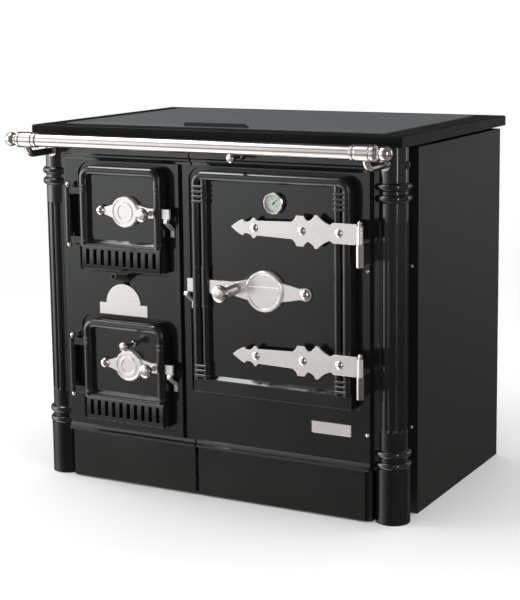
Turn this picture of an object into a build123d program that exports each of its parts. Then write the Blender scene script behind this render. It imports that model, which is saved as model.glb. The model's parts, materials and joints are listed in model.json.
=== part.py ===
from build123d import *
import math
import os

# A wood cookstove with a firebox on the left, an oven on the right and two drawers under them.
# X runs to the right, Y to the back, Z up. Every piece is built with y = 0 at the front edge of
# the worktop and z = 0 on the floor, and save() then moves it so that the origin lies on the
# floor under the middle of the whole stove. All sizes are in millimetres.

os.makedirs("parts", exist_ok=True)

# ---- clearances -----------------------------------------------------------------------------
RUN_GAP = 0.3             # between faces that move past each other
PIN_PLAY = 0.05           # radial play of a pin or rod in its hole
SEAT_PLAY = 0.02          # radial play of a pin that is fixed in its hole

# ---- worktop and hob plate ------------------------------------------------------------------
TOP_WIDTH = 950.0
TOP_DEPTH = 630.0
TOP_HEIGHT = 850.0
TOP_THICK = 24.0
TOP_EDGE_ROUND = 4.0
HOB_MARGIN_SIDE = 63.0    # from the worktop's side edge to the hob opening
HOB_MARGIN_FRONT = 52.0
HOB_MARGIN_BACK = 45.0
HOB_THICK = 11.0
HOB_PROUD = 2.0           # the plate's face above the worktop's
HOB_LEDGE = 12.0          # width of the ledge that carries the plate
HOB_GAP = 2.0
HOB_GROOVE_INSET = 25.0
HOB_GROOVE_WIDTH = 3.0
HOB_GROOVE_DEPTH = 1.2
LIP_LEFT = -88.0
LIP_RIGHT = 66.0
LIP_HEIGHT = 9.0          # above the plate's face
LIP_DEPTH = 9.0
LIP_SLOPE = 14.0

# ---- columns --------------------------------------------------------------------------------
COLUMN_INSET_X = 42.0     # column axis from the worktop's side edge
COLUMN_INSET_Y = 49.0
SHAFT_RADIUS = 33.0
BASE_RADIUS = 38.0
RING_RADIUS = 40.5
BASE_HEIGHT = 123.0
RING_HEIGHT = 18.0
RING_SPACE = 7.0
CAPITAL_DROP = 77.0       # from the column's top to the top of its upper ring
FLUTE_COUNT = 12
FLUTE_RADIUS = 6.0
FLUTE_DEPTH = 3.4
FLUTE_MARGIN = 45.0
WEB_THICK = 8.0

# ---- front castings -------------------------------------------------------------------------
FACE_SETBACK = 12.0       # casting face behind the worktop's front edge
CASTING_THICK = 12.0
SPLIT_OUT = 15.0          # where the mouldings and drawers are divided, from the oven door's edge
SPLIT_GAP = 4.0
GROOVE_OUT = 30.0         # upright groove between the castings, from the small doors' edge
GROOVE_WIDTH = 9.0
GROOVE_BACKING = 4.0
STRIP_WIDTH = 9.0
STRIP_RAISE = 3.0
CORNICE_HEIGHT = 57.0
CORNICE_RAISE = 10.0
MOULD_HEIGHT = 15.0
MOULD_RAISE = 8.0

# ---- door pockets and doors -----------------------------------------------------------------
POCKET_DEPTH = 4.0
POCKET_LEFT = 23.0
POCKET_RIGHT = 4.0
POCKET_TOP = 4.0
POCKET_BOTTOM = 10.0
POCKET_CORNER = 8.0       # round of its two lower corners
DOOR_CORNER = 30.0
MOUTH_INSET = 20.0        # door edge to the opening behind it, at the sides
MOUTH_INSET_END = 26.0    # the same, at top and bottom
PANEL_PROUD = 20.0        # door panel in front of the casting face
PANEL_THICK = 6.0
RIM_WALL = 8.0
BEAD_RADIUS = 11.0
BEAD_CENTRE = 6.0         # bead axis in front of the door panel
SEAL_WIDTH = 8.0
SEAL_THICK = 6.0
SHIELD_THICK = 3.0
SHIELD_GAP = 8.0          # door panel to heat shield
SHIELD_INSET = 18.0
STUD_RADIUS = 5.0

DOOR_TOP_GAP = 8.0        # from the doors' top edges to the cornice
SMALL_DOOR_INSET = 63.0   # from the castings' side edge to the door
SMALL_DOOR_WIDTH = 224.0
SMALL_DOORS_APART = 119.0
ASH_DOOR_RISE = 25.0      # from the low moulding to the ash door
SKIRT_HEIGHT = 51.0
SKIRT_INSET = 6.0
SKIRT_PROUD = 12.0
SKIRT_BULGE = 1.2         # the middle of the skirt in front of its edges
LEDGE_HEIGHT = 10.0
SILL_RISE = 8.0           # height and depth of the sloped strip over each door's ledge
SLOT_COUNT = 10
SLOT_PITCH = 20.3
SLOT_WIDTH = 9.5
SLOT_BOTTOM = 10.0
SLOT_HEIGHT = 37.0
SCALLOP_RADIUS = 3.0

OVEN_DOOR_INSET = 30.0
OVEN_DOOR_WIDTH = 394.0
OVEN_DOOR_RISE = 124.0
OVEN_SKIRT_HEIGHT = 30.0
OVEN_SKIRT_PROUD = 10.0
COLONNETTE_SPACING = 21.5
COLONNETTE_RADIUS = 9.0
COLLAR_RADIUS = 12.5
COLLAR_HEIGHT = 6.0
LOW_RING_RISES = (9.0, 20.0, 31.0)           # from the skirt's top
HIGH_RING_DROPS = (35.0, 46.0, 57.0, 68.0)   # from the door's top
SMALL_RING_RISE = 12.0    # from the middle of the ledge
SMALL_RING_DROPS = (48.0, 58.0)

# ---- hinges of the two small doors ----------------------------------------------------------
SMALL_AXIS_OUT = 42.0     # hinge axis to the door's left edge
SMALL_AXIS_PROUD = 15.0   # hinge axis in front of the casting face
BARREL_RADIUS = 8.5
LUG_Z = 57.0
LUG_HEIGHT = 15.0
BARREL_LENGTH = 101.0
PIN_RADIUS = 4.0
PIN_HEAD_RADIUS = 6.0
PIN_HEAD_HEIGHT = 10.0

# ---- strap hinges of the oven door ----------------------------------------------------------
OVEN_AXIS_OUT = 25.5
STRAP_THICK = 4.5
STRAP_RISE = 100.0        # lower strap above the door's bottom edge
STRAP_DROP = 118.0        # upper strap below the door's top edge
RIVET_PLACES = (49.0, 137.0, 253.0)   # from the hinge axis
STRAP_LENGTH = 310.0
STRAP_HALF = 22.0         # half-height beside the knuckle
KNUCKLE_RADIUS = 6.5
KNUCKLE_BELOW = 21.5
KNUCKLE_ABOVE = 17.5
FIXED_KNUCKLE_RADIUS = 9.0
FIXED_KNUCKLE_LENGTH = 48.0
OVEN_PIN_RADIUS = 3.5
FINIAL_RADIUS = 5.5
RIVET_RADIUS = 10.0
RIVET_SHANK = 4.0
SPACER_RADIUS = 9.0

# ---- latches --------------------------------------------------------------------------------
LATCH_THICK = 7.0
LATCH_HALF = 11.0         # half the height of the bar's end
SMALL_LATCH_LOWER = 2.0   # bar below the middle of the panel
SMALL_PIVOT_IN = 57.0     # pivot to the door's left edge
SMALL_DISC_AT = 68.5      # the rest are from the pivot
SMALL_DISC_RADIUS = 36.0
SMALL_KNOB_AT = 133.5
SMALL_LATCH_OVER = 19.0   # bar's end past the door's edge
SMALL_KNOB_RADIUS = 16.0
SMALL_STEM = 24.0
SMALL_LIFT = 7.0          # degrees
OVEN_LATCH_HIGHER = 1.0   # bar above the middle between the straps
OVEN_PIVOT_IN = 112.0     # pivot to the oven door's right edge
OVEN_DISC_AT = 99.0
OVEN_DISC_RADIUS = 46.0
OVEN_KNOB_AT = 173.5
OVEN_LATCH_OVER = 15.0
OVEN_LATCH_HALF = 15.0
OVEN_KNOB_RADIUS = 19.5
OVEN_STEM = 60.0
OVEN_LIFT = 5.0
DOME_RADIUS = 12.5
DOME_HEIGHT = 9.0
PIVOT_RADIUS = 5.0
KNOB_DEPTH = 15.0
STEM_RADIUS = 4.5
KEEPER_WIDTH = 9.0
KEEPER_THICK = 3.5
KEEPER_FOOT = 14.0
KEEPER_DROP = 44.0

# ---- thermometer ----------------------------------------------------------------------------
GAUGE_FROM_LEFT = 207.6
GAUGE_DROP = 63.6         # from the door's top edge
GAUGE_RADIUS = 24.0
GAUGE_PROUD = 12.0
GAUGE_DIAL_RADIUS = 19.0
GLASS_THICK = 1.5
DIAL_THICK = 1.5
NEEDLE_LENGTH = 14.0
NEEDLE_ANGLE = 40.0       # degrees clockwise from straight up
PROBE_RADIUS = 3.0
PROBE_LENGTH = 60.0

# ---- small front pieces ---------------------------------------------------------------------
ARCH_PLATE_IN = 97.0      # plate's middle from the small doors' left edge
ARCH_PLATE_RISE = 8.6     # above the ash door
ARCH_PLATE_WIDTH = 132.0
ARCH_PLATE_BASE = 27.0
ARCH_RADIUS = 47.0
ARCH_PLATE_THICK = 3.0
LONG_PLATE_IN = 62.0      # plate's middle from the oven door's right edge
LONG_PLATE_DROP = 68.0    # below the oven door
LONG_PLATE_WIDTH = 95.0
LONG_PLATE_HEIGHT = 26.0
SCREW_RADIUS = 5.0
SCREW_HEIGHT = 3.5
SCREW_RISES = (197.0, 558.0)
FLANGE_SCREW_IN = 16.0    # from the side panel's outer face

# ---- rail -----------------------------------------------------------------------------------
RAIL_OUT = 82.0           # rail axis in front of the worktop
RAIL_DROP = 28.0          # rail axis below the worktop's top face
RAIL_RADIUS = 15.0
SOCKET_IN = 36.0          # socket's inner end from the column's axis
SOCKET_LENGTH = 56.0
SOCKET_RADIUS = 18.0
BALL_OUT = 39.0           # ball's centre from the column's axis
BALL_RADIUS = 16.0
ARM_RADIUS = 8.0
ARM_BEND = 24.0
ARM_DROP = 34.0
ARM_INSET = 4.0           # arm nearer the middle than the column's axis
FLANGE_RADIUS = 13.0
FLANGE_THICK = 8.0

# ---- base and drawers -----------------------------------------------------------------------
DECK_TOP = 118.0
DECK_THICK = 4.0
BASE_WALL = 4.0
DRAWER_SETBACK = 10.0     # drawer front behind the worktop's front edge
DRAWER_FRONT_THICK = 4.0
DRAWER_FRONT_BOTTOM = 3.0
DRAWER_TOP_GAP = 3.0
DRAWER_END_INSET = 11.0
DRAWER_SPLIT_GAP = 10.0
TRAY_INSET = 4.0
TRAY_DEPTH = 466.0
TRAY_HEIGHT = 84.0
TRAY_BOTTOM = 10.0
TRAY_WALL = 2.0
RUNNER_WIDTH = 16.0
RUNNER_THICK = 4.0
WALL_GAP = 2.0

# ---- outer panels ---------------------------------------------------------------------------
SHEET = 2.0
SIDE_INSET = 11.6         # side panel's outer face from the worktop's side edge
SIDE_FRONT = 115.0
SIDE_FLANGE = 46.0
PANEL_TOP_GAP = 8.0
BACK_INSET = 5.0

# ---- firebox --------------------------------------------------------------------------------
SHELL_WALL = 4.0
SHELL_BESIDE = 40.0       # from the small doors' edges to the shell's outer faces
SHELL_BACK_GAP = 117.0
SHELL_TOP_GAP = 30.0      # under the worktop
SHELL_LOW_GAP = 78.0      # the same over the wall that the smoke passes
SHELF_DROP = 41.0         # below the firebox door
SHELF_THICK = 6.0
SHELF_MOUTH_INSET = 58.0
BRICK_THICK = 28.0
BRICK_HEIGHT = 250.0
GRATE_THICK = 10.0
GRATE_FRONT = 60.0
GRATE_DEPTH = 370.0
GRATE_WIDTH = 204.0
GRATE_SLOT = 10.0
GRATE_PITCH = 20.0
SHAKER_TRAVEL = 20.0
SHAKER_IN = 107.0         # tube from the small doors' left edge
SHAKER_RADIUS = 8.0
SHAKER_BORE = 5.0
SHAKER_BORE_DEPTH = 12.5
SHAKER_TILT = 14.5        # degrees
SHAKER_DROP = 23.5        # tube's axis at the casting face, below the firebox door
SHAKER_OUT = 57.0
SHAKER_LUG = 8.0
ASH_FLOOR_THICK = 4.0
PAN_WIDTH = 170.0
PAN_FRONT = 45.0
PAN_DEPTH = 395.0
PAN_HEIGHT = 65.0
PAN_WALL = 2.0

# ---- oven -----------------------------------------------------------------------------------
OVEN_WALL = 3.0
OVEN_CAVITY_INSET = 37.0  # door edge to the cavity, at the sides
OVEN_CAVITY_LOW = 43.0
OVEN_CAVITY_HIGH = 36.0
OVEN_DEPTH = 456.0
RACK_RISE = 180.0
RIB_WIDTH = 10.0
RACK_WIRE = 2.5
RACK_FRONT_GAP = 30.0
RACK_BACK_GAP = 10.0
RACK_SIDE_GAP = 4.0
RACK_BARS = 13
LEG_SETBACK = 80.0

# ---- smoke way ------------------------------------------------------------------------------
BAFFLE_RISE = 52.0
BAFFLE_THICK = 4.0
PORT_WIDTH = 100.0
PORT_DEPTH = 90.0
DAMPER_IN = 120.0         # rod from the oven door's left edge
DAMPER_RISE = 26.0        # rod above the cornice's lower edge
DAMPER_ROD = 4.0
DAMPER_KNOB_RADIUS = 10.5
DAMPER_STEM = 36.0
DAMPER_OVERLAP = 10.0
FLUE_IN = 115.0           # flue's axis from the oven door's right edge
FLUE_DROP = 160.0         # below the worktop's top face
FLUE_RADIUS = 74.5
FLUE_WALL = 3.0
FLUE_LENGTH = 48.0
FLUE_FLANGE = 18.0
AIR_KNOB_X_IN = 136.0     # air knob to the ash door's left edge
AIR_KNOB_OVER = 16.5      # above the latch disc's upper edge
AIR_KNOB_RADIUS = 12.0
AIR_STEM = 34.0
AIR_VALVE_RADIUS = 18.0
AIR_TRAVEL = 18.0

# ---- sizes that follow from those -----------------------------------------------------------
under_top = TOP_HEIGHT - TOP_THICK
top_half = TOP_WIDTH / 2
column_x = top_half - COLUMN_INSET_X
casting_half = column_x - BASE_RADIUS
casting_back = FACE_SETBACK + CASTING_THICK
cornice_z = under_top - CORNICE_HEIGHT
mould_top = DECK_TOP + MOULD_HEIGHT
door_top = cornice_z - DOOR_TOP_GAP
small_door_left = -casting_half + SMALL_DOOR_INSET
small_door_right = small_door_left + SMALL_DOOR_WIDTH
ash_door_z = mould_top + ASH_DOOR_RISE
small_door_height = (door_top - ash_door_z - SMALL_DOORS_APART) / 2
firebox_door_z = door_top - small_door_height
oven_door_right = casting_half - OVEN_DOOR_INSET
oven_door_left = oven_door_right - OVEN_DOOR_WIDTH
oven_door_z = mould_top + OVEN_DOOR_RISE
split_x = oven_door_left - SPLIT_OUT
split_left = split_x - SPLIT_GAP / 2
split_right = split_x + SPLIT_GAP / 2
groove_left = small_door_right + GROOVE_OUT
groove_right = groove_left + GROOVE_WIDTH
pocket_floor = FACE_SETBACK + POCKET_DEPTH
door_back = pocket_floor - RUN_GAP
panel_front = FACE_SETBACK - PANEL_PROUD
panel_back = panel_front + PANEL_THICK
bead_y = panel_front - BEAD_CENTRE
bead_front = bead_y - BEAD_RADIUS
small_axis_x = small_door_left - SMALL_AXIS_OUT
small_axis_y = FACE_SETBACK - SMALL_AXIS_PROUD
strap_back = bead_front - RUN_GAP
strap_front = strap_back - STRAP_THICK
oven_axis_x = oven_door_right + OVEN_AXIS_OUT
oven_axis_y = (strap_front + strap_back) / 2
latch_back = panel_front - RUN_GAP
latch_front = latch_back - LATCH_THICK
small_pivot_x = small_door_left + SMALL_PIVOT_IN
oven_pivot_x = oven_door_right - OVEN_PIVOT_IN
strap_heights = (oven_door_z + STRAP_RISE, door_top - STRAP_DROP)
oven_latch_z = sum(strap_heights) / 2 + OVEN_LATCH_HIGHER
oven_latch_length = OVEN_DOOR_WIDTH - OVEN_PIVOT_IN + OVEN_LATCH_OVER
small_latch_length = SMALL_DOOR_WIDTH - SMALL_PIVOT_IN + SMALL_LATCH_OVER
panel_low = SKIRT_HEIGHT + LEDGE_HEIGHT
panel_high = small_door_height - 2 * BEAD_RADIUS
small_latch_rise = (panel_low + panel_high) / 2 - SMALL_LATCH_LOWER
air_knob_rise = small_latch_rise + SMALL_DISC_RADIUS + AIR_KNOB_OVER
deck_back = TOP_DEPTH - BACK_INSET - 2 * SHEET
side_outer = top_half - SIDE_INSET
side_inner = side_outer - SHEET
panel_top = under_top - PANEL_TOP_GAP
back_y = deck_back + SHEET
shell_left = small_door_left - SHELL_BESIDE
shell_right = small_door_right + SHELL_BESIDE
shell_back = deck_back - SHELL_BACK_GAP
shelf_z = firebox_door_z - SHELF_DROP
shelf_top = shelf_z + SHELF_THICK
shaker_x = small_door_left + SHAKER_IN
shaker_root_z = firebox_door_z - SHAKER_DROP
ash_mouth_z = ash_door_z + MOUTH_INSET_END
cavity_left = oven_door_left + OVEN_CAVITY_INSET
cavity_right = oven_door_right - OVEN_CAVITY_INSET
cavity_low = oven_door_z + OVEN_CAVITY_LOW
cavity_high = door_top - OVEN_CAVITY_HIGH
baffle_z = cavity_high + OVEN_WALL + BAFFLE_RISE
baffle_top = baffle_z + BAFFLE_THICK
port_back = casting_back + OVEN_DEPTH + PORT_DEPTH / 2
gauge_x = oven_door_left + GAUGE_FROM_LEFT
gauge_z = door_top - GAUGE_DROP
gauge_front = panel_front - GAUGE_PROUD
dial_front = panel_front - GAUGE_PROUD / 2
damper_x = oven_door_left + DAMPER_IN
damper_z = cornice_z + DAMPER_RISE
flue_x = oven_door_right - FLUE_IN
flue_z = TOP_HEIGHT - FLUE_DROP
rail_z = TOP_HEIGHT - RAIL_DROP
socket_start = column_x - SOCKET_IN
stove_front = -RAIL_OUT - max(BALL_RADIUS, SOCKET_RADIUS)
stove_back = back_y + FLUE_LENGTH
origin_y = (stove_front + stove_back) / 2


# ---- small helpers --------------------------------------------------------------------------
def slab(x0, x1, y0, y1, z0, z1):
    """A box between two corners."""
    return Pos((x0 + x1) / 2, (y0 + y1) / 2, (z0 + z1) / 2) * Box(x1 - x0, y1 - y0, z1 - z0)


def upright(sketch, front, back):
    """A sketch drawn in X and Z, as thick as from its front to its back."""
    return extrude(Plane.XZ.offset(-back) * sketch, amount=back - front)


def lengthwise(points, x0, x1):
    """An outline given in Y and Z, drawn out along X."""
    outline = make_face(Polyline(*points, close=True))
    return extrude(Plane.YZ.offset(x0) * outline, amount=x1 - x0)


def round_y(x, z, radius, front, back):
    """A round bar that lies along Y."""
    return Pos(x, (front + back) / 2, z) * Rot(90, 0, 0) * Cylinder(radius, back - front)


def round_z(x, y, radius, low, high):
    """A round bar that stands along Z."""
    return Pos(x, y, (low + high) / 2) * Cylinder(radius, high - low)


def round_x(y, z, radius, x0, x1):
    """A round bar that lies along X."""
    return Pos((x0 + x1) / 2, y, z) * Rot(0, 90, 0) * Cylinder(radius, x1 - x0)


def turned_y(points, x, z):
    """A turned piece round a line along Y, from pairs of radius and y."""
    outline = make_face(Polyline(*points, close=True))
    return Pos(x, 0, z) * revolve(outline, Axis.Y)


def collar(x, y, z, radius, height):
    """A ring with a rounded rim round a line along Z."""
    rim = height / 2
    body = Pos(x, y, z) * Cylinder(radius - rim, height)
    return body + Pos(x, y, z) * Torus(radius - rim, rim)


def ring(x, y, z, radius, height):
    """A small ring with bevelled edges round a line along Z."""
    half, bevel = height / 2, height / 3
    outline = make_face(Polyline((0, -half), (radius - bevel, -half), (radius, bevel - half), (radius, half - bevel),
                                 (radius - bevel, half), (0, half), close=True))
    return Pos(x, y, z) * revolve(Plane.XZ * outline, Axis.Z)


def twin_ring(x0, x1, y, z, radius, height):
    """One ring with bevelled edges that goes round two shafts side by side."""
    outline = SlotCenterToCenter(x1 - x0, 2 * radius)
    body = extrude(Plane.XY.offset(-height / 2) * outline, amount=height)
    body = chamfer(body.edges().filter_by(lambda edge: abs(abs(edge.center().Z) - height / 2) < 0.01), height / 4)
    return Pos((x0 + x1) / 2, y, z) * body


def knob(x, z, base, stem, radius):
    """A turned knob on a stem that starts at the plane y = base and points forward."""
    neck = base - stem
    outline = [(0, base), (STEM_RADIUS * 1.7, base), (STEM_RADIUS * 1.5, base - 4), (STEM_RADIUS, base - 6)]
    outline += [(STEM_RADIUS, neck), (radius * 0.72, neck - 1), (radius, neck - KNOB_DEPTH * 0.4)]
    outline += [(radius * 0.93, neck - KNOB_DEPTH * 0.75), (radius * 0.6, neck - KNOB_DEPTH * 0.96)]
    outline += [(0, neck - KNOB_DEPTH)]
    return turned_y(outline, x, z)


def dome(x, z, base, radius, height):
    """A domed head that stands forward of the plane y = base."""
    ball_radius = (radius ** 2 + height ** 2) / (2 * height)
    ball = Pos(x, base - height + ball_radius, z) * Sphere(ball_radius)
    return ball & round_y(x, z, radius + 1, base - height - 1, base)


def door_outline(left, right, low, high, inset):
    """A door's outline with rounded top corners, or the same drawn in by an inset."""
    width = right - left - 2 * inset
    height = high - low - 2 * inset
    outline = Pos((left + right) / 2, (low + high) / 2) * Rectangle(width, height)
    return fillet(outline.vertices().sort_by(Axis.Y)[-2:], DOOR_CORNER - inset)


def one(shape):
    """The shape as one plain solid."""
    solids = shape.solids()
    return solids[0] if len(solids) == 1 else Compound(children=list(solids))


def save(name, shape):
    """Write one node, moved so that the origin lies under the middle of the stove."""
    placed = Pos(0, -origin_y, 0) * one(shape)
    export_step(placed, "parts/" + name + ".step")
    print(name, len(shape.solids()), "solids", round(shape.volume / 1000, 1), "cm3")


# ---- base, panels and columns ---------------------------------------------------------------
drawer_left_x = -casting_half + DRAWER_END_INSET
drawer_right_x = casting_half - DRAWER_END_INSET
drawer_split = split_right
drawer_spans = {
    "left": (drawer_left_x, drawer_split - DRAWER_SPLIT_GAP / 2),
    "right": (drawer_split + DRAWER_SPLIT_GAP / 2, drawer_right_x),
}
drawer_back = DRAWER_SETBACK + DRAWER_FRONT_THICK


def base_frame():
    wall_front = drawer_back + WALL_GAP
    deck_half = casting_half - RUN_GAP
    deck_step = SIDE_FRONT + SHEET + RUN_GAP
    frame = slab(-deck_half, deck_half, pocket_floor, deck_back, DECK_TOP - DECK_THICK, DECK_TOP)
    frame += slab(-side_inner, side_inner, deck_step, deck_back, DECK_TOP - DECK_THICK, DECK_TOP)
    frame += slab(-side_inner, side_inner, deck_back - BASE_WALL, deck_back, 0, DECK_TOP)
    split_mid = (drawer_spans["left"][1] + drawer_spans["right"][0]) / 2
    walls = [
        (drawer_left_x + TRAY_INSET - WALL_GAP - BASE_WALL, 1),
        (split_mid - BASE_WALL / 2, 0),
        (drawer_right_x - TRAY_INSET + WALL_GAP, -1),
    ]
    runner_top = TRAY_BOTTOM - RUN_GAP
    for wall_x, inward in walls:
        frame += slab(wall_x, wall_x + BASE_WALL, wall_front, deck_back, 0, DECK_TOP)
        reach_left = RUNNER_WIDTH if inward <= 0 else 0
        reach_right = RUNNER_WIDTH if inward >= 0 else 0
        frame += slab(wall_x - reach_left, wall_x + BASE_WALL + reach_right, wall_front, deck_back,
                      runner_top - RUNNER_THICK, runner_top)
    for side in (-1, 1):
        inner = side * (drawer_right_x - TRAY_INSET + WALL_GAP + BASE_WALL)
        outer = side * deck_half
        frame += slab(min(inner, outer), max(inner, outer), wall_front + BASE_WALL, COLUMN_INSET_Y, 0,
                      DECK_TOP - DECK_THICK)
    return frame


def side_panel(side):
    panel = slab(side_inner, side_outer, SIDE_FRONT, TOP_DEPTH - BACK_INSET, 0, panel_top)
    panel += slab(side_outer - SIDE_FLANGE, side_outer, SIDE_FRONT, SIDE_FRONT + SHEET, 0, panel_top)
    rear = TOP_DEPTH - BACK_INSET
    panel += slab(side_outer - SIDE_FLANGE / 2, side_outer, rear - SHEET, rear, 0, panel_top)
    return panel if side > 0 else mirror(panel, Plane.YZ)


def back_panel():
    panel = slab(-side_inner, side_inner, deck_back, back_y, 0, panel_top)
    return panel - round_y(flue_x, flue_z, FLUE_RADIUS - FLUE_WALL, deck_back - 1, back_y + 1)


def column(side):
    x, y = column_x, COLUMN_INSET_Y
    base_ring = BASE_HEIGHT + RING_HEIGHT / 2
    capital_ring = under_top - CAPITAL_DROP - RING_HEIGHT / 2
    ring_step = RING_HEIGHT + RING_SPACE
    rings = [base_ring, base_ring + ring_step, capital_ring, capital_ring - ring_step]
    body = round_z(x, y, SHAFT_RADIUS, 0, under_top) + round_z(x, y, BASE_RADIUS, 0, BASE_HEIGHT)
    for ring_z in rings:
        body += collar(x, y, ring_z, RING_RADIUS, RING_HEIGHT)
    flute_low = rings[1] + RING_HEIGHT / 2 + FLUTE_MARGIN
    flute_high = rings[3] - RING_HEIGHT / 2 - FLUTE_MARGIN
    axis_out = SHAFT_RADIUS + FLUTE_RADIUS - FLUTE_DEPTH
    for index in range(FLUTE_COUNT):
        turn = math.radians(360 / FLUTE_COUNT * index)
        fx = x + axis_out * math.cos(turn)
        fy = y + axis_out * math.sin(turn)
        flute = round_z(fx, fy, FLUTE_RADIUS, flute_low, flute_high)
        flute += Pos(fx, fy, flute_low) * Sphere(FLUTE_RADIUS)
        flute += Pos(fx, fy, flute_high) * Sphere(FLUTE_RADIUS)
        body -= flute
    # A web behind the casting's edge, and one that reaches back to the side panel's flange.
    inner_web = slab(casting_half - WEB_THICK, x, casting_back, casting_back + WEB_THICK, DECK_TOP, under_top)
    rear_web = slab(x - WEB_THICK / 2, x + WEB_THICK / 2, y, SIDE_FRONT, DECK_TOP, panel_top)
    body += inner_web + rear_web
    return body if side > 0 else mirror(body, Plane.YZ)


# ---- front castings -------------------------------------------------------------------------
cornice_profile = [
    (casting_back, cornice_z),
    (FACE_SETBACK, cornice_z),
    (FACE_SETBACK - CORNICE_RAISE * 0.2, cornice_z + 6),
    (FACE_SETBACK - CORNICE_RAISE * 0.6, cornice_z + 9),
    (FACE_SETBACK - CORNICE_RAISE * 0.6, cornice_z + 13),
    (FACE_SETBACK - CORNICE_RAISE, cornice_z + 17),
    (FACE_SETBACK - CORNICE_RAISE, under_top),
    (casting_back, under_top),
]
mould_profile = [
    (casting_back, DECK_TOP),
    (FACE_SETBACK - MOULD_RAISE, DECK_TOP),
    (FACE_SETBACK - MOULD_RAISE, DECK_TOP + 4),
    (FACE_SETBACK - MOULD_RAISE * 0.4, DECK_TOP + 7),
    (FACE_SETBACK - MOULD_RAISE * 0.4, DECK_TOP + 9),
    (FACE_SETBACK - MOULD_RAISE * 0.15, mould_top - 1),
    (FACE_SETBACK, mould_top),
    (casting_back, mould_top),
]


def door_recess(left, right, low, high, mouth_side, mouth_low, mouth_high):
    """The pocket that a door closes into, and the opening behind it."""
    pocket = door_outline(left - POCKET_LEFT, right + POCKET_RIGHT, low - POCKET_BOTTOM, high + POCKET_TOP, 0)
    pocket = fillet(pocket.vertices().sort_by(Axis.Y)[:2], POCKET_CORNER)
    opening = slab(left + mouth_side, right - mouth_side, FACE_SETBACK, casting_back + 1,
                   low + mouth_low, high - mouth_high)
    return upright(pocket, FACE_SETBACK - 1, pocket_floor) + opening


def firebox_casting():
    casting = slab(-casting_half, groove_left, FACE_SETBACK, casting_back, mould_top, cornice_z)
    casting += slab(groove_left - STRIP_WIDTH, groove_left, FACE_SETBACK - STRIP_RAISE, FACE_SETBACK,
                    mould_top, cornice_z)
    casting += lengthwise(cornice_profile, -casting_half, split_left)
    casting += lengthwise(mould_profile, -casting_half, split_left)
    for low in (firebox_door_z, ash_door_z):
        casting -= door_recess(small_door_left, small_door_right, low, low + small_door_height,
                               MOUTH_INSET, MOUTH_INSET_END, MOUTH_INSET_END)
    # The shaker tube slopes, so its slot is long enough for the tube at both ends of its travel.
    slope = math.tan(math.radians(SHAKER_TILT))
    half = SHAKER_RADIUS / math.cos(math.radians(SHAKER_TILT)) + RUN_GAP
    slot_low = shaker_root_z - (CASTING_THICK + SHAKER_TRAVEL) * slope - half
    slot_high = shaker_root_z + half
    casting -= slab(shaker_x - SHAKER_RADIUS - RUN_GAP, shaker_x + SHAKER_RADIUS + RUN_GAP,
                    FACE_SETBACK - 1, casting_back + 1, slot_low, slot_high)
    return casting


def oven_casting():
    casting = slab(groove_right, casting_half, FACE_SETBACK, casting_back, mould_top, cornice_z)
    casting += slab(groove_left, groove_right, casting_back - GROOVE_BACKING, casting_back,
                    mould_top, cornice_z)
    casting += lengthwise(cornice_profile, split_right, casting_half)
    casting += lengthwise(mould_profile, split_right, casting_half)
    casting -= door_recess(oven_door_left, oven_door_right, oven_door_z, door_top,
                           OVEN_CAVITY_INSET, OVEN_CAVITY_LOW, OVEN_CAVITY_HIGH)
    casting -= round_y(damper_x, damper_z, DAMPER_ROD + PIN_PLAY, FACE_SETBACK - CORNICE_RAISE - 1,
                       casting_back + 1)
    casting -= round_y(damper_x, damper_z, DAMPER_ROD * 1.9, FACE_SETBACK - CORNICE_RAISE - 1, FACE_SETBACK)
    return casting


# ---- worktop and hob plate ------------------------------------------------------------------
hob_left = -top_half + HOB_MARGIN_SIDE
hob_right = top_half - HOB_MARGIN_SIDE
hob_front = HOB_MARGIN_FRONT
hob_back = TOP_DEPTH - HOB_MARGIN_BACK
hob_face = TOP_HEIGHT + HOB_PROUD
hob_under = hob_face - HOB_THICK


def worktop_frame():
    frame = slab(-top_half, top_half, 0, TOP_DEPTH, under_top, TOP_HEIGHT)
    frame = fillet(frame.edges().group_by(Axis.Z)[-1], TOP_EDGE_ROUND)
    frame -= slab(hob_left, hob_right, hob_front, hob_back, hob_under - RUN_GAP, TOP_HEIGHT + 1)
    frame -= slab(hob_left + HOB_LEDGE, hob_right - HOB_LEDGE, hob_front + HOB_LEDGE, hob_back - HOB_LEDGE,
                  under_top - 1, TOP_HEIGHT)
    return frame


def hob_plate():
    left, right = hob_left + HOB_GAP, hob_right - HOB_GAP
    front, back = hob_front + HOB_GAP, hob_back - HOB_GAP
    plate = slab(left, right, front, back, hob_under, hob_face)
    inset = HOB_GROOVE_INSET
    groove_floor = hob_face - HOB_GROOVE_DEPTH
    outer = slab(left + inset, right - inset, front + inset, back - inset, groove_floor, hob_face + 1)
    inset += HOB_GROOVE_WIDTH
    plate -= outer - slab(left + inset, right - inset, front + inset, back - inset, groove_floor - 1,
                          hob_face + 2)
    # The raised lip at the front, by which the plate is lifted.
    lip_top = hob_face + LIP_HEIGHT
    lip = Polyline((LIP_LEFT, hob_face), (LIP_LEFT + 2, lip_top), (LIP_RIGHT, lip_top),
                   (LIP_RIGHT + LIP_SLOPE, hob_face), close=True)
    return plate + upright(make_face(lip), front, front + LIP_DEPTH)


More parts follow.
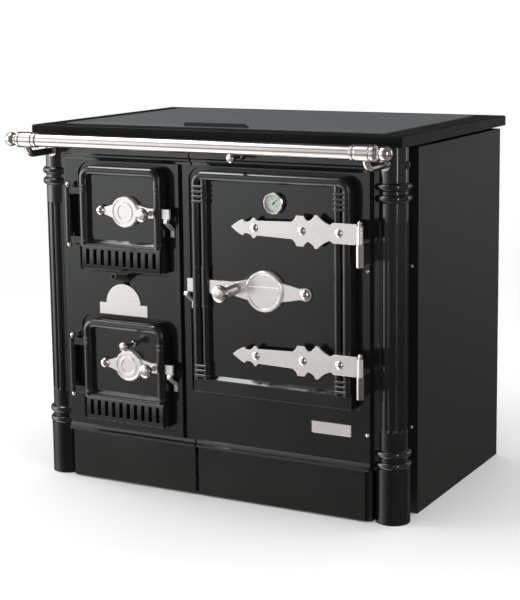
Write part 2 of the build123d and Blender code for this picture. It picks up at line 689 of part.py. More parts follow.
# ---- doors ----------------------------------------------------------------------------------
def door_shell(left, right, low, high, bead_foot):
    """A dished plate with a deep rim, and a half-round bead up its sides and over its top."""
    shell = upright(door_outline(left, right, low, high, 0), panel_front, door_back)
    shell -= upright(door_outline(left, right, low, high, RIM_WALL), panel_back, door_back + 1)
    bead_left, bead_right = left + BEAD_RADIUS, right - BEAD_RADIUS
    bead_top = high - BEAD_RADIUS
    route = FilletPolyline((bead_left, bead_foot), (bead_left, bead_top), (bead_right, bead_top),
                           (bead_right, bead_foot), radius=DOOR_CORNER - BEAD_RADIUS)
    section = Pos(bead_left, bead_y) * Circle(BEAD_RADIUS)
    section += Pos(bead_left, (bead_y + panel_front) / 2) * Rectangle(2 * BEAD_RADIUS, BEAD_CENTRE)
    section &= Pos(bead_left, panel_front - BEAD_RADIUS * 2) * Rectangle(4 * BEAD_RADIUS, 4 * BEAD_RADIUS)
    bead = sweep(Plane.XY.offset(bead_foot) * section, path=Plane.XZ.offset(-bead_y) * route)
    return shell + bead


def half_sunk(shape):
    """What stands in front of the middle of the door's panel, so that nothing shows at its back."""
    middle = panel_front + PANEL_THICK / 2
    return shape & slab(-TOP_WIDTH, TOP_WIDTH, -RAIL_OUT, middle, 0, TOP_HEIGHT)


def sill(x0, x1, foot):
    """A strip that slopes from the door's panel down to a ledge at the height foot."""
    return lengthwise([(panel_front, foot + SILL_RISE), (panel_front - SILL_RISE, foot), (panel_front, foot)], x0, x1)


def stud_places(left, right, low, high):
    inset = SHIELD_INSET + STUD_RADIUS * 2
    return [(x, z) for x in (left + inset, right - inset) for z in (low + inset, high - inset)]


def add_studs(door, left, right, low, high):
    for x, z in stud_places(left, right, low, high):
        door += round_y(x, z, STUD_RADIUS, panel_back, panel_back + SHIELD_GAP)
    return door


def heat_shield(left, right, low, high):
    front = panel_back + SHIELD_GAP
    return slab(left + SHIELD_INSET, right - SHIELD_INSET, front, front + SHIELD_THICK,
                low + SHIELD_INSET, high - SHIELD_INSET)


def rope_seal(left, right, low, high):
    """The rope that lies inside the door's rim and meets the casting."""
    outer = door_outline(left, right, low, high, RIM_WALL)
    inner = door_outline(left, right, low, high, RIM_WALL + SEAL_WIDTH)
    return upright(outer - inner, door_back - SEAL_THICK, door_back)


small_ledge = SKIRT_HEIGHT + LEDGE_HEIGHT / 2
small_shield_low = SKIRT_HEIGHT - SHIELD_INSET + LEDGE_HEIGHT


def latch_slot(pivot_x, reach_near, reach_far, half, lift, latch_z):
    """The room that a latch bar needs where it passes under a bead, as far as it lifts."""
    rise = abs(reach_far) * math.sin(math.radians(lift)) + half + RUN_GAP
    x0, x1 = sorted((pivot_x + reach_near, pivot_x + reach_far))
    return slab(x0, x1, latch_front - 2 * RUN_GAP, panel_front, latch_z - half - 2 * RUN_GAP, latch_z + rise + 2)


def small_door(low, air_hole):
    left, right, high = small_door_left, small_door_right, low + small_door_height
    centre = (left + right) / 2
    ledge_z = low + small_ledge
    door = door_shell(left, right, low, high, ledge_z)
    # The ledge across the door, and the louvred skirt under it.
    door += slab(left + 3, right - 3, bead_y - 4, panel_front, ledge_z - LEDGE_HEIGHT / 2, ledge_z + LEDGE_HEIGHT / 2)
    door += round_x(bead_y - 4, ledge_z, LEDGE_HEIGHT / 2, left + 3, right - 3)
    door += sill(left + BEAD_RADIUS, right - BEAD_RADIUS, ledge_z + LEDGE_HEIGHT / 2)
    skirt_top = low + SKIRT_HEIGHT
    skirt_front = panel_front - SKIRT_PROUD
    skirt_edge = skirt_front + SKIRT_BULGE
    skirt = Polyline((panel_front, skirt_top), (panel_front, low), (skirt_edge, low))
    skirt += ThreePointArc((skirt_edge, low), (skirt_front, low + SKIRT_HEIGHT / 2), (skirt_edge, skirt_top))
    skirt += Line((skirt_edge, skirt_top), (panel_front, skirt_top))
    door += extrude(Plane.YZ.offset(left + SKIRT_INSET) * make_face(skirt),
                    amount=right - left - 2 * SKIRT_INSET)
    for index in range(SLOT_COUNT):
        x = centre + (index - (SLOT_COUNT - 1) / 2) * SLOT_PITCH
        door -= slab(x - SLOT_WIDTH / 2, x + SLOT_WIDTH / 2, skirt_front - 1, panel_back + 1,
                     low + SLOT_BOTTOM, low + SLOT_BOTTOM + SLOT_HEIGHT)
    # Rings on the upright beads, above the ledge and below the corners.
    for x in (left + BEAD_RADIUS, right - BEAD_RADIUS):
        for z in (ledge_z + SMALL_RING_RISE, *[high - drop for drop in SMALL_RING_DROPS]):
            door += half_sunk(ring(x, bead_y, z, COLLAR_RADIUS, COLLAR_HEIGHT))
    # Two arms reach out to the hinge.
    for z in (low + LUG_Z, low + LUG_Z + LUG_HEIGHT + BARREL_LENGTH):
        arm = slab(small_axis_x, left + RIM_WALL / 2, small_axis_y - 5, small_axis_y + 6, z, z + LUG_HEIGHT)
        arm += round_z(small_axis_x, small_axis_y, BARREL_RADIUS, z, z + LUG_HEIGHT)
        door += arm
        door -= round_z(small_axis_x, small_axis_y, PIN_RADIUS + PIN_PLAY, z - 1, z + LUG_HEIGHT + 1)
    latch_z = low + small_latch_rise
    door -= round_y(small_pivot_x, latch_z, PIVOT_RADIUS + SEAT_PLAY, panel_front - 1, panel_back + 1)
    bead_reach = right - small_pivot_x
    door -= latch_slot(small_pivot_x, bead_reach - 2 * BEAD_RADIUS - 2, bead_reach + 2, LATCH_HALF, SMALL_LIFT,
                       latch_z)
    door = add_studs(door, left, right, low + small_shield_low, high)
    if air_hole:
        x, z = left + AIR_KNOB_X_IN, low + air_knob_rise
        door -= round_y(x, z, STEM_RADIUS + PIN_PLAY, panel_front - 1, panel_back + 1)
        door -= round_y(x, z, STEM_RADIUS * 1.8, panel_front - 1, panel_front + 2)
        for index in range(SLOT_COUNT - 1):
            x = centre + (index - (SLOT_COUNT - 2) / 2) * SLOT_PITCH
            door -= round_y(x, low, SCALLOP_RADIUS, skirt_front - 1, panel_front)
    return door


def small_shield(low, air_hole):
    left, right, high = small_door_left, small_door_right, low + small_door_height
    shield = heat_shield(left, right, low + small_shield_low, high)
    if air_hole:
        shield -= round_y(left + AIR_KNOB_X_IN, low + air_knob_rise, STEM_RADIUS + PIN_PLAY, panel_back,
                          door_back + CASTING_THICK)
    return shield


def oven_door():
    left, right, low, high = oven_door_left, oven_door_right, oven_door_z, door_top
    skirt_top = low + OVEN_SKIRT_HEIGHT
    door = door_shell(left, right, low, high, skirt_top)
    door += slab(left, right, panel_front - OVEN_SKIRT_PROUD, panel_front, low, skirt_top)
    door += sill(left + BEAD_RADIUS, right - BEAD_RADIUS, skirt_top)
    uprights = [left + BEAD_RADIUS, left + BEAD_RADIUS + COLONNETTE_SPACING,
                right - BEAD_RADIUS - COLONNETTE_SPACING, right - BEAD_RADIUS]
    for x in uprights[1:3]:
        door += round_z(x, bead_y, COLONNETTE_RADIUS, skirt_top, high - BEAD_RADIUS)
        door += slab(x - COLONNETTE_RADIUS + 1, x + COLONNETTE_RADIUS - 1, bead_y, panel_front, skirt_top,
                     high - BEAD_RADIUS)
    ring_heights = [skirt_top + rise for rise in LOW_RING_RISES] + [high - drop for drop in HIGH_RING_DROPS]
    for x0, x1 in (uprights[:2], uprights[2:]):
        for z in ring_heights:
            door += half_sunk(twin_ring(x0, x1, bead_y, z, COLLAR_RADIUS, COLLAR_HEIGHT))
    bead_reach = left - oven_pivot_x
    inner_edge = bead_reach + BEAD_RADIUS + COLONNETTE_SPACING + COLLAR_RADIUS + 2
    door -= latch_slot(oven_pivot_x, inner_edge, bead_reach - 4, OVEN_LATCH_HALF, OVEN_LIFT, oven_latch_z)
    door -= round_y(oven_pivot_x, oven_latch_z, PIVOT_RADIUS + SEAT_PLAY, panel_front - 1, panel_back + 1)
    door -= round_y(gauge_x, gauge_z, PROBE_RADIUS + SEAT_PLAY, panel_front - 1, panel_back + 1)
    return add_studs(door, left, right, low, high)


def oven_shield():
    shield = heat_shield(oven_door_left, oven_door_right, oven_door_z, door_top)
    return shield - round_y(gauge_x, gauge_z, PROBE_RADIUS + PIN_PLAY, panel_back, door_back + CASTING_THICK)


# ---- hinges ---------------------------------------------------------------------------------
def hinge_barrel(low):
    z0 = low + LUG_Z + LUG_HEIGHT + RUN_GAP
    z1 = z0 + BARREL_LENGTH - 2 * RUN_GAP
    barrel = round_z(small_axis_x, small_axis_y, BARREL_RADIUS, z0, z1)
    barrel += slab(small_axis_x - 4, small_axis_x + 4, small_axis_y, FACE_SETBACK, z0 + 6, z1 - 6)
    return barrel - round_z(small_axis_x, small_axis_y, PIN_RADIUS + SEAT_PLAY, z0 - 1, z1 + 1)


def hinge_pin(low):
    z0 = low + LUG_Z - RUN_GAP
    z1 = z0 + BARREL_LENGTH + 2 * LUG_HEIGHT + 2 * RUN_GAP
    pin = round_z(small_axis_x, small_axis_y, PIN_RADIUS, z0, z1)
    for base, way in ((z0, -1), (z1, 1)):
        head = Pos(small_axis_x, small_axis_y, base + way * PIN_HEAD_HEIGHT * 0.55) * Sphere(PIN_HEAD_RADIUS)
        low_z, high_z = sorted((base, base + way * PIN_HEAD_HEIGHT * 2))
        head &= slab(small_axis_x - 9, small_axis_x + 9, small_axis_y - 9, small_axis_y + 9, low_z, high_z)
        pin += head
    return pin


def strap_face():
    """The strap's outline: distance from the hinge, half-height there, and how far the run to it bows in."""
    root = STRAP_HALF
    corners = [(0, root, 0), (62, root, 0), (69, 17.0, 0), (98, 35.0, 2.5), (106, 35.5, -1.0), (122, 22.5, 2.5)]
    corners += [(132, 33.0, 1.5), (150, 33.0, 0), (163, 18.4, 2.5), (247, 16.2, 0), (251, 21.5, 0)]
    corners += [(257, 21.5, -0.8), (270, 12.5, 2.0), (277, 12.5, 0), (281, 18.0, 0), (STRAP_LENGTH, 0, -1.5)]
    half = Curve()
    for (x0, z0, _), (x1, z1, bow) in zip(corners, corners[1:]):
        start, end = (-x0, z0), (-x1, z1)
        half += SagittaArc(start, end, bow) if bow else Line(start, end)
    return make_face(half + mirror(half, Plane.XZ) + Line((0, -root), (0, root)))


def strap_hinge(z):
    strap = upright(Pos(oven_axis_x, z) * strap_face(), strap_front, strap_back)
    strap -= slab(oven_axis_x - KNUCKLE_RADIUS, oven_axis_x + 1, strap_front - 1, strap_back + 1,
                  z + KNUCKLE_ABOVE, z + 60)
    knuckle_low, knuckle_high = z - KNUCKLE_BELOW + RUN_GAP, z + KNUCKLE_ABOVE
    strap += round_z(oven_axis_x, oven_axis_y, KNUCKLE_RADIUS, knuckle_low, knuckle_high)
    strap -= slab(oven_axis_x - KNUCKLE_RADIUS - 6, oven_axis_x + 1, strap_front - 1, strap_back + 1,
                  z - 60, knuckle_low)
    strap -= round_z(oven_axis_x, oven_axis_y, OVEN_PIN_RADIUS + PIN_PLAY, knuckle_low - 1, knuckle_high + 1)
    for at in RIVET_PLACES:
        strap -= round_y(oven_axis_x - at, z, RIVET_SHANK + SEAT_PLAY, strap_front - 1, strap_back + 1)
    return strap


def fixed_knuckle(z):
    z1 = z - KNUCKLE_BELOW
    z0 = z1 - FIXED_KNUCKLE_LENGTH
    knuckle = round_z(oven_axis_x, oven_axis_y, FIXED_KNUCKLE_RADIUS, z0, z1)
    knuckle += slab(oven_axis_x - 5, oven_axis_x + 5, oven_axis_y, FACE_SETBACK, z0 + 3, z1 - 3)
    return knuckle - round_z(oven_axis_x, oven_axis_y, OVEN_PIN_RADIUS + SEAT_PLAY, z0 - 1, z1 + 1)


def oven_pin(z):
    z0 = z - KNUCKLE_BELOW - FIXED_KNUCKLE_LENGTH
    z1 = z + KNUCKLE_ABOVE + RUN_GAP
    pin = round_z(oven_axis_x, oven_axis_y, OVEN_PIN_RADIUS, z0, z1 + 2)
    pin += round_z(oven_axis_x, oven_axis_y, FINIAL_RADIUS, z1, z1 + 2)
    return pin + Pos(oven_axis_x, oven_axis_y, z1 + 1 + FINIAL_RADIUS) * Sphere(FINIAL_RADIUS)


def strap_rivets(z):
    rivets = []
    for at in RIVET_PLACES:
        x = oven_axis_x - at
        rivet = dome(x, z, strap_front, RIVET_RADIUS, RIVET_RADIUS * 0.6)
        rivet += round_y(x, z, RIVET_SHANK, strap_front, strap_back)
        if at > RIVET_PLACES[0]:
            rivet += round_y(x, z, SPACER_RADIUS, strap_back, panel_front)
        rivets.append(rivet)
    return rivets


# ---- latches --------------------------------------------------------------------------------
def latch_bar(pivot_x, z, way, disc_at, disc_radius, length, half, neck_half):
    """A bar from its pivot through a round disc to its end; way is +1 to the right, -1 to the left."""
    near, far = disc_at - disc_radius * 0.9, disc_at + disc_radius * 0.8
    waist = DOME_RADIUS
    upper = [(0, neck_half), (waist, neck_half - 1), (near, disc_radius * 0.45), (disc_at, disc_radius * 0.5)]
    upper += [(far, disc_radius * 0.52), (far + disc_radius * 0.9, half), (length, half)]
    outline = [(way * x, h) for x, h in upper] + [(way * x, -h) for x, h in reversed(upper)]
    sketch = make_face(Polyline(*outline, close=True)) + Circle(neck_half + 1)
    bar = upright(Pos(pivot_x, z) * sketch, latch_front, latch_back)
    r, face = disc_radius, latch_front
    rim = [(0, latch_back), (r, latch_back), (r, face - 4), (r * 0.95, face - 6.5), (r * 0.87, face - 6.5)]
    rim += [(r * 0.83, face - 4), (0, face - 4)]
    bar += turned_y(rim, pivot_x + way * disc_at, z)
    return bar - round_y(pivot_x, z, PIVOT_RADIUS + PIN_PLAY, latch_front - 1, latch_back + 1)


def small_latch(low):
    z = low + small_latch_rise
    bar = latch_bar(small_pivot_x, z, 1, SMALL_DISC_AT, SMALL_DISC_RADIUS, small_latch_length, LATCH_HALF, 9.5)
    r, face = SMALL_DISC_RADIUS, latch_front - 4
    ring = [(r * 0.48, face), (r * 0.51, face - 2), (r * 0.6, face - 2), (r * 0.64, face)]
    return bar + turned_y(ring, small_pivot_x + SMALL_DISC_AT, z)


def oven_latch():
    bar = latch_bar(oven_pivot_x, oven_latch_z, -1, OVEN_DISC_AT, OVEN_DISC_RADIUS, oven_latch_length,
                    OVEN_LATCH_HALF, 13.0)
    band_half = OVEN_DISC_RADIUS * 0.22
    x = oven_pivot_x - OVEN_DISC_AT
    reach = OVEN_DISC_RADIUS * 0.85
    return bar + slab(x - reach, x + reach, latch_front - 6, latch_front - 4, oven_latch_z - band_half,
                      oven_latch_z + band_half)


def latch_pivot(x, z):
    """A domed head, its pin through bar and door, and the nut behind the door panel."""
    base = latch_front - RUN_GAP
    pivot = dome(x, z, base, DOME_RADIUS, DOME_HEIGHT)
    pivot += round_y(x, z, PIVOT_RADIUS, base, panel_back + 4)
    return pivot + round_y(x, z, PIVOT_RADIUS * 1.6, panel_back, panel_back + 4)


def oven_latch_knob():
    """The long turned handle: a ribbed stem and a round knob."""
    x, z = oven_pivot_x - OVEN_KNOB_AT, oven_latch_z
    handle = knob(x, z, latch_front, OVEN_STEM, OVEN_KNOB_RADIUS)
    rib_pitch = 9.0
    for index in range(5):
        rib = Pos(x, latch_front - 10 - index * rib_pitch, z) * Rot(90, 0, 0)
        handle += rib * Torus(9.5, 4.2) + rib * Cylinder(9.5, 6)
    return handle


def keeper(x, z, seat):
    """A bent strip, seated on the plane y = seat, that the bar comes down on at the height z."""
    shelf = z - RUN_GAP
    front = latch_front - 6
    foot = seat - KEEPER_THICK
    low = shelf - KEEPER_DROP
    profile = [(seat, low), (foot, low), (foot, low + KEEPER_FOOT), (front, shelf - 8), (front, shelf - 2)]
    profile += [(front + 2, shelf), (latch_back, shelf), (latch_back, shelf - 4), (front + 6, shelf - 6)]
    profile += [(seat, low + KEEPER_FOOT * 1.4)]
    return lengthwise(profile, x - KEEPER_WIDTH / 2, x + KEEPER_WIDTH / 2)


# ---- thermometer ----------------------------------------------------------------------------
def gauge_case():
    r, front = GAUGE_RADIUS, gauge_front
    cup = [(0, panel_front), (r, panel_front), (r, front + 2), (r - 2, front), (GAUGE_DIAL_RADIUS + 1.5, front)]
    cup += [(GAUGE_DIAL_RADIUS, front + 2), (GAUGE_DIAL_RADIUS, dial_front + DIAL_THICK)]
    cup += [(0, dial_front + DIAL_THICK)]
    case = turned_y(cup, gauge_x, gauge_z)
    return case + round_y(gauge_x, gauge_z, PROBE_RADIUS, panel_front, panel_front + PROBE_LENGTH)


def gauge_dial():
    return round_y(gauge_x, gauge_z, GAUGE_DIAL_RADIUS - SEAT_PLAY, dial_front, dial_front + DIAL_THICK)


def gauge_needle():
    back = dial_front - RUN_GAP
    hub = round_y(gauge_x, gauge_z, 2.2, back - 1, back)
    pointer = make_face(Polyline((-1.1, -5), (0, NEEDLE_LENGTH), (1.1, -5), close=True))
    pointer = Pos(gauge_x, gauge_z) * Rot(0, 0, -NEEDLE_ANGLE) * pointer
    return hub + upright(pointer, back - 0.8, back)


def gauge_glass():
    front = gauge_front + 2
    return round_y(gauge_x, gauge_z, GAUGE_DIAL_RADIUS - SEAT_PLAY, front, front + GLASS_THICK)


# ---- bare plates and screws -----------------------------------------------------------------
def front_plates():
    arch_x = small_door_left + ARCH_PLATE_IN
    arch_low = ash_door_z + small_door_height + ARCH_PLATE_RISE
    arch_foot = arch_low + ARCH_PLATE_BASE
    base = Pos(arch_x, arch_low + ARCH_PLATE_BASE / 2) * Rectangle(ARCH_PLATE_WIDTH, ARCH_PLATE_BASE)
    arch = Pos(arch_x, arch_foot) * Circle(ARCH_RADIUS)
    arch &= Pos(arch_x, arch_foot + ARCH_RADIUS / 2) * Rectangle(2 * ARCH_RADIUS, ARCH_RADIUS)
    face = FACE_SETBACK - ARCH_PLATE_THICK
    arched = upright(base + arch, face, FACE_SETBACK)
    long_x = oven_door_right - LONG_PLATE_IN
    long_low = oven_door_z - LONG_PLATE_DROP
    long_plate = slab(long_x - LONG_PLATE_WIDTH / 2, long_x + LONG_PLATE_WIDTH / 2, face, FACE_SETBACK,
                      long_low, long_low + LONG_PLATE_HEIGHT)
    return Compound(children=[one(arched), one(long_plate)])


def front_screws():
    x = casting_half - SCREW_RADIUS - 1
    heads = [one(dome(x, z, FACE_SETBACK, SCREW_RADIUS, SCREW_HEIGHT)) for z in SCREW_RISES]
    flange_x = side_outer - FLANGE_SCREW_IN
    heads += [one(dome(flange_x, z, SIDE_FRONT, SCREW_RADIUS, SCREW_HEIGHT)) for z in SCREW_RISES]
    return Compound(children=heads)


# ---- rail -----------------------------------------------------------------------------------
def rail_bar():
    return round_x(-RAIL_OUT, rail_z, RAIL_RADIUS, -socket_start, socket_start)


def rail_bracket(side):
    end = socket_start + SOCKET_LENGTH
    r = SOCKET_RADIUS
    outline = [(socket_start, 0), (socket_start, r - 2), (socket_start + 2, r - 0.5), (socket_start + 6, r - 0.5)]
    outline += [(socket_start + 8, r - 2), (socket_start + 11, r - 2), (socket_start + 13, r)]
    outline += [(end - 14, r), (end - 12, r - 1.5), (end - 10, r - 1.5), (end - 8, r), (end - 3, r)]
    outline += [(end, r - 3), (end, 9), (end + 3, 8), (end + 5, 12), (end + 8, 12), (end + 9, 0)]
    socket = revolve(make_face(Polyline(*outline, close=True)), Axis.X)
    body = Pos(0, -RAIL_OUT, rail_z) * socket
    body += Pos(column_x + BALL_OUT, -RAIL_OUT, rail_z) * Sphere(BALL_RADIUS)
    route = FilletPolyline((-RAIL_OUT, rail_z - r / 2), (-RAIL_OUT, rail_z - ARM_DROP),
                           (COLUMN_INSET_Y - SHAFT_RADIUS / 2, rail_z - ARM_DROP), radius=ARM_BEND)
    arm_x = column_x - ARM_INSET
    start = Plane.XY.offset(rail_z - r / 2) * Pos(arm_x, -RAIL_OUT)
    body += sweep(start * Circle(ARM_RADIUS), path=Plane.YZ.offset(arm_x) * route)
    column_front = COLUMN_INSET_Y - SHAFT_RADIUS
    body += round_y(arm_x, rail_z - ARM_DROP, FLANGE_RADIUS, column_front - FLANGE_THICK / 2,
                    COLUMN_INSET_Y - SHAFT_RADIUS / 2)
    body -= round_z(column_x, COLUMN_INSET_Y, SHAFT_RADIUS + RUN_GAP / 2, 0, TOP_HEIGHT)
    return body if side > 0 else mirror(body, Plane.YZ)


# ---- firebox and ash --------------------------------------------------------------------------
def firebox_shell():
    left, right, back, wall = shell_left, shell_right, shell_back, SHELL_WALL
    shell_top = under_top - SHELL_TOP_GAP
    shell = slab(left, left + wall, casting_back, back, DECK_TOP, shell_top)
    shell += slab(right - wall, right, casting_back, back, DECK_TOP, under_top - SHELL_LOW_GAP)
    shell += slab(left, right, back - wall, back, DECK_TOP, shell_top)
    shelf = slab(left, right, casting_back, back, shelf_z, shelf_top)
    mouth = SHELF_MOUTH_INSET
    shelf -= slab(left + mouth, right - mouth, casting_back + 26, back - mouth, shelf_z - 1, shelf_top + 1)
    notch = SHAKER_RADIUS + SHAKER_LUG
    shelf -= slab(shaker_x - notch, shaker_x + notch, casting_back - 1, casting_back + 27, shelf_z - 1,
                  shelf_top + 1)
    floor = slab(left, right, casting_back, back, ash_mouth_z - ASH_FLOOR_THICK, ash_mouth_z)
    return shell + shelf + floor


def firebricks():
    inner_left = shell_left + SHELL_WALL + RUN_GAP
    inner_right = shell_right - SHELL_WALL - RUN_GAP
    inner_back = shell_back - SHELL_WALL - RUN_GAP
    inner_front = casting_back + RUN_GAP
    side_back = inner_back - BRICK_THICK - RUN_GAP
    z0 = shelf_top + RUN_GAP
    z1 = z0 + BRICK_HEIGHT
    left = slab(inner_left, inner_left + BRICK_THICK, inner_front, side_back, z0, z1)
    right = slab(inner_right - BRICK_THICK, inner_right, inner_front, side_back, z0, z1)
    back = slab(inner_left, inner_right, inner_back - BRICK_THICK, inner_back, z0, z1)
    return Compound(children=[one(left), one(right), one(back)])


grate_centre = (shell_left + shell_right) / 2
grate_low = shelf_top + RUN_GAP


def grate():
    half = GRATE_WIDTH / 2
    back = GRATE_FRONT + GRATE_DEPTH
    plate = slab(grate_centre - half, grate_centre + half, GRATE_FRONT, back, grate_low, grate_low + GRATE_THICK)
    count = int((GRATE_WIDTH - GRATE_PITCH) / GRATE_PITCH)
    for index in range(count):
        x = grate_centre + (index - (count - 1) / 2) * GRATE_PITCH
        plate -= slab(x - GRATE_SLOT / 2, x + GRATE_SLOT / 2, GRATE_FRONT + 22, back - 22, grate_low - 1,
                      grate_low + GRATE_THICK + 1)
    lug_half = SHAKER_RADIUS + SHAKER_LUG / 2
    return plate + slab(shaker_x - lug_half, shaker_x + lug_half, GRATE_FRONT - SHAKER_LUG, GRATE_FRONT,
                        shelf_z - 3, grate_low + GRATE_THICK)


def shaker_tube():
    tilt = math.radians(SHAKER_TILT)
    lug_face = GRATE_FRONT - SHAKER_LUG
    inward = (lug_face + 20 - FACE_SETBACK) / math.cos(tilt)
    length = inward + SHAKER_OUT / math.cos(tilt)
    # The tube's middle, measured along its sloping axis from where it meets the casting face.
    mid = (SHAKER_OUT / math.cos(tilt) - inward) / 2
    place = Pos(shaker_x, FACE_SETBACK - mid * math.cos(tilt), shaker_root_z + mid * math.sin(tilt))
    tube = place * Rot(90 - SHAKER_TILT, 0, 0) * Cylinder(SHAKER_RADIUS, length)
    tube -= place * Rot(90 - SHAKER_TILT, 0, 0) * Pos(0, 0, length / 2) * Cylinder(SHAKER_BORE, 2 * SHAKER_BORE_DEPTH)
    return tube - slab(shaker_x - 30, shaker_x + 30, lug_face, lug_face + 60, shelf_z - 60, shelf_z + 60)


def open_box(x0, x1, y0, y1, z0, z1, wall):
    """A box with a floor and four walls."""
    return slab(x0, x1, y0, y1, z0, z1) - slab(x0 + wall, x1 - wall, y0 + wall, y1 - wall, z0 + wall, z1 + 1)


def ash_pan():
    x0 = grate_centre - PAN_WIDTH / 2
    x1 = x0 + PAN_WIDTH
    z0 = ash_mouth_z
    pan = open_box(x0, x1, PAN_FRONT, PAN_FRONT + PAN_DEPTH, z0, z0 + PAN_HEIGHT, PAN_WALL)
    grip_z = z0 + PAN_HEIGHT / 2
    grip = slab(grate_centre - 30, grate_centre + 30, PAN_FRONT - 16, PAN_FRONT, grip_z - 3, grip_z + 3)
    return pan + grip - slab(grate_centre - 24, grate_centre + 24, PAN_FRONT - 10, PAN_FRONT, grip_z - 4, grip_z + 4)


# ---- oven and smoke way ---------------------------------------------------------------------
def oven_box():
    wall = OVEN_WALL
    x0, x1 = cavity_left - wall, cavity_right + wall
    z0, z1 = cavity_low - wall, cavity_high + wall
    back = casting_back + OVEN_DEPTH
    box = slab(x0, x1, casting_back, back + wall, z0, z1)
    box -= slab(cavity_left, cavity_right, casting_back - 1, back, cavity_low, cavity_high)
    rib_top = cavity_low + RACK_RISE
    for rib_x in (cavity_left, cavity_right - RIB_WIDTH):
        box += slab(rib_x, rib_x + RIB_WIDTH, casting_back + 20, back, rib_top - wall, rib_top)
    for leg_x in (x0, x1 - wall):
        box += slab(leg_x, leg_x + wall, casting_back + LEG_SETBACK, back - LEG_SETBACK, DECK_TOP, z0)
    return box


def oven_rack():
    z = cavity_low + RACK_RISE + RACK_WIRE
    x0, x1 = cavity_left + RACK_SIDE_GAP, cavity_right - RACK_SIDE_GAP
    y0, y1 = casting_back + RACK_FRONT_GAP, casting_back + OVEN_DEPTH - RACK_BACK_GAP
    rack = round_x(y0, z, RACK_WIRE, x0, x1) + round_x(y1, z, RACK_WIRE, x0, x1)
    for index in range(RACK_BARS):
        x = x0 + 2 * RACK_WIRE + (x1 - x0 - 4 * RACK_WIRE) * index / (RACK_BARS - 1)
        rack += round_y(x, z, RACK_WIRE * 0.8, y0, y1)
    return rack


def port_box(low, high, grow):
    """The by-pass port in the baffle, or the damper plate's size when it grows past it."""
    half = PORT_WIDTH / 2 + grow
    return slab(damper_x - half, damper_x + half, port_back - PORT_DEPTH - grow, port_back + grow, low, high)


def smoke_baffle():
    x0, x1 = cavity_left - OVEN_WALL, cavity_right + OVEN_WALL
    back = port_back + 3 * DAMPER_OVERLAP
    baffle = slab(x0, x1, casting_back, back, baffle_z, baffle_top)
    oven_top = cavity_high + OVEN_WALL
    for leg_x in (x0, x1 - BAFFLE_THICK):
        baffle += slab(leg_x, leg_x + BAFFLE_THICK, casting_back + LEG_SETBACK, casting_back + OVEN_DEPTH,
                       oven_top, baffle_z)
    return baffle - port_box(baffle_z - 1, baffle_top + 1, 0)


def damper_plate():
    low = baffle_top + RUN_GAP
    plate = port_box(low, low + BAFFLE_THICK, DAMPER_OVERLAP)
    lug_y = port_back - PORT_DEPTH - DAMPER_OVERLAP
    return plate + slab(damper_x - 10, damper_x + 10, lug_y, lug_y + BAFFLE_THICK, low, damper_z + 8)


def damper_rod():
    face = FACE_SETBACK - CORNICE_RAISE
    lug_y = port_back - PORT_DEPTH - DAMPER_OVERLAP
    rod = round_y(damper_x, damper_z, DAMPER_ROD, face - DAMPER_STEM / 2, lug_y)
    return rod + knob(damper_x, damper_z, face - 6, DAMPER_STEM, DAMPER_KNOB_RADIUS)


def flue_collar():
    collar_body = round_y(flue_x, flue_z, FLUE_RADIUS, back_y, back_y + FLUE_LENGTH)
    collar_body += round_y(flue_x, flue_z, FLUE_RADIUS + FLUE_FLANGE, back_y, back_y + FLUE_WALL)
    return collar_body - round_y(flue_x, flue_z, FLUE_RADIUS - FLUE_WALL, back_y - 1, back_y + FLUE_LENGTH + 1)


def air_regulator():
    x, z = small_door_left + AIR_KNOB_X_IN, ash_door_z + air_knob_rise
    valve = panel_back + SHIELD_GAP + SHIELD_THICK + AIR_TRAVEL + 3
    handle = knob(x, z, panel_front - 2, AIR_STEM, AIR_KNOB_RADIUS)
    handle += round_y(x, z, STEM_RADIUS, panel_front - 4, valve)
    return handle + round_y(x, z, AIR_VALVE_RADIUS, valve, valve + 3)


# ---- drawers --------------------------------------------------------------------------------
def drawer_front(side):
    x0, x1 = drawer_spans[side]
    return slab(x0, x1, DRAWER_SETBACK, drawer_back, DRAWER_FRONT_BOTTOM, DECK_TOP - DRAWER_TOP_GAP)


def drawer_tray(side):
    x0, x1 = drawer_spans[side]
    return open_box(x0 + TRAY_INSET, x1 - TRAY_INSET, drawer_back, drawer_back + TRAY_DEPTH, TRAY_BOTTOM,
                    TRAY_BOTTOM + TRAY_HEIGHT, TRAY_WALL)


# ---- every node -----------------------------------------------------------------------------
def group(*shapes):
    return Compound(children=[one(shape) for shape in shapes])


save("base_frame", base_frame())
save("side_panel_left", side_panel(-1))
save("side_panel_right", side_panel(1))
save("back_panel", back_panel())
save("column_left", column(-1))
save("column_right", column(1))
save("firebox_casting", firebox_casting())
save("oven_casting", oven_casting())
save("worktop_frame", worktop_frame())
save("hob_plate", hob_plate())
save("rail_bar", rail_bar())
save("rail_bracket_left", rail_bracket(-1))
save("rail_bracket_right", rail_bracket(1))
save("front_plates", front_plates())
save("front_screws", front_screws())

save("firebox_shell", firebox_shell())
save("firebricks", firebricks())
save("grate", grate())
save("shaker_tube", shaker_tube())
save("ash_pan", ash_pan())
save("oven_box", oven_box())
save("oven_rack", oven_rack())
save("smoke_baffle", smoke_baffle())
save("damper_plate", damper_plate())
save("damper_rod", damper_rod())
save("flue_collar", flue_collar())

for side_name in drawer_spans:
    save("drawer_front_" + side_name, drawer_front(side_name))
    save("drawer_tray_" + side_name, drawer_tray(side_name))

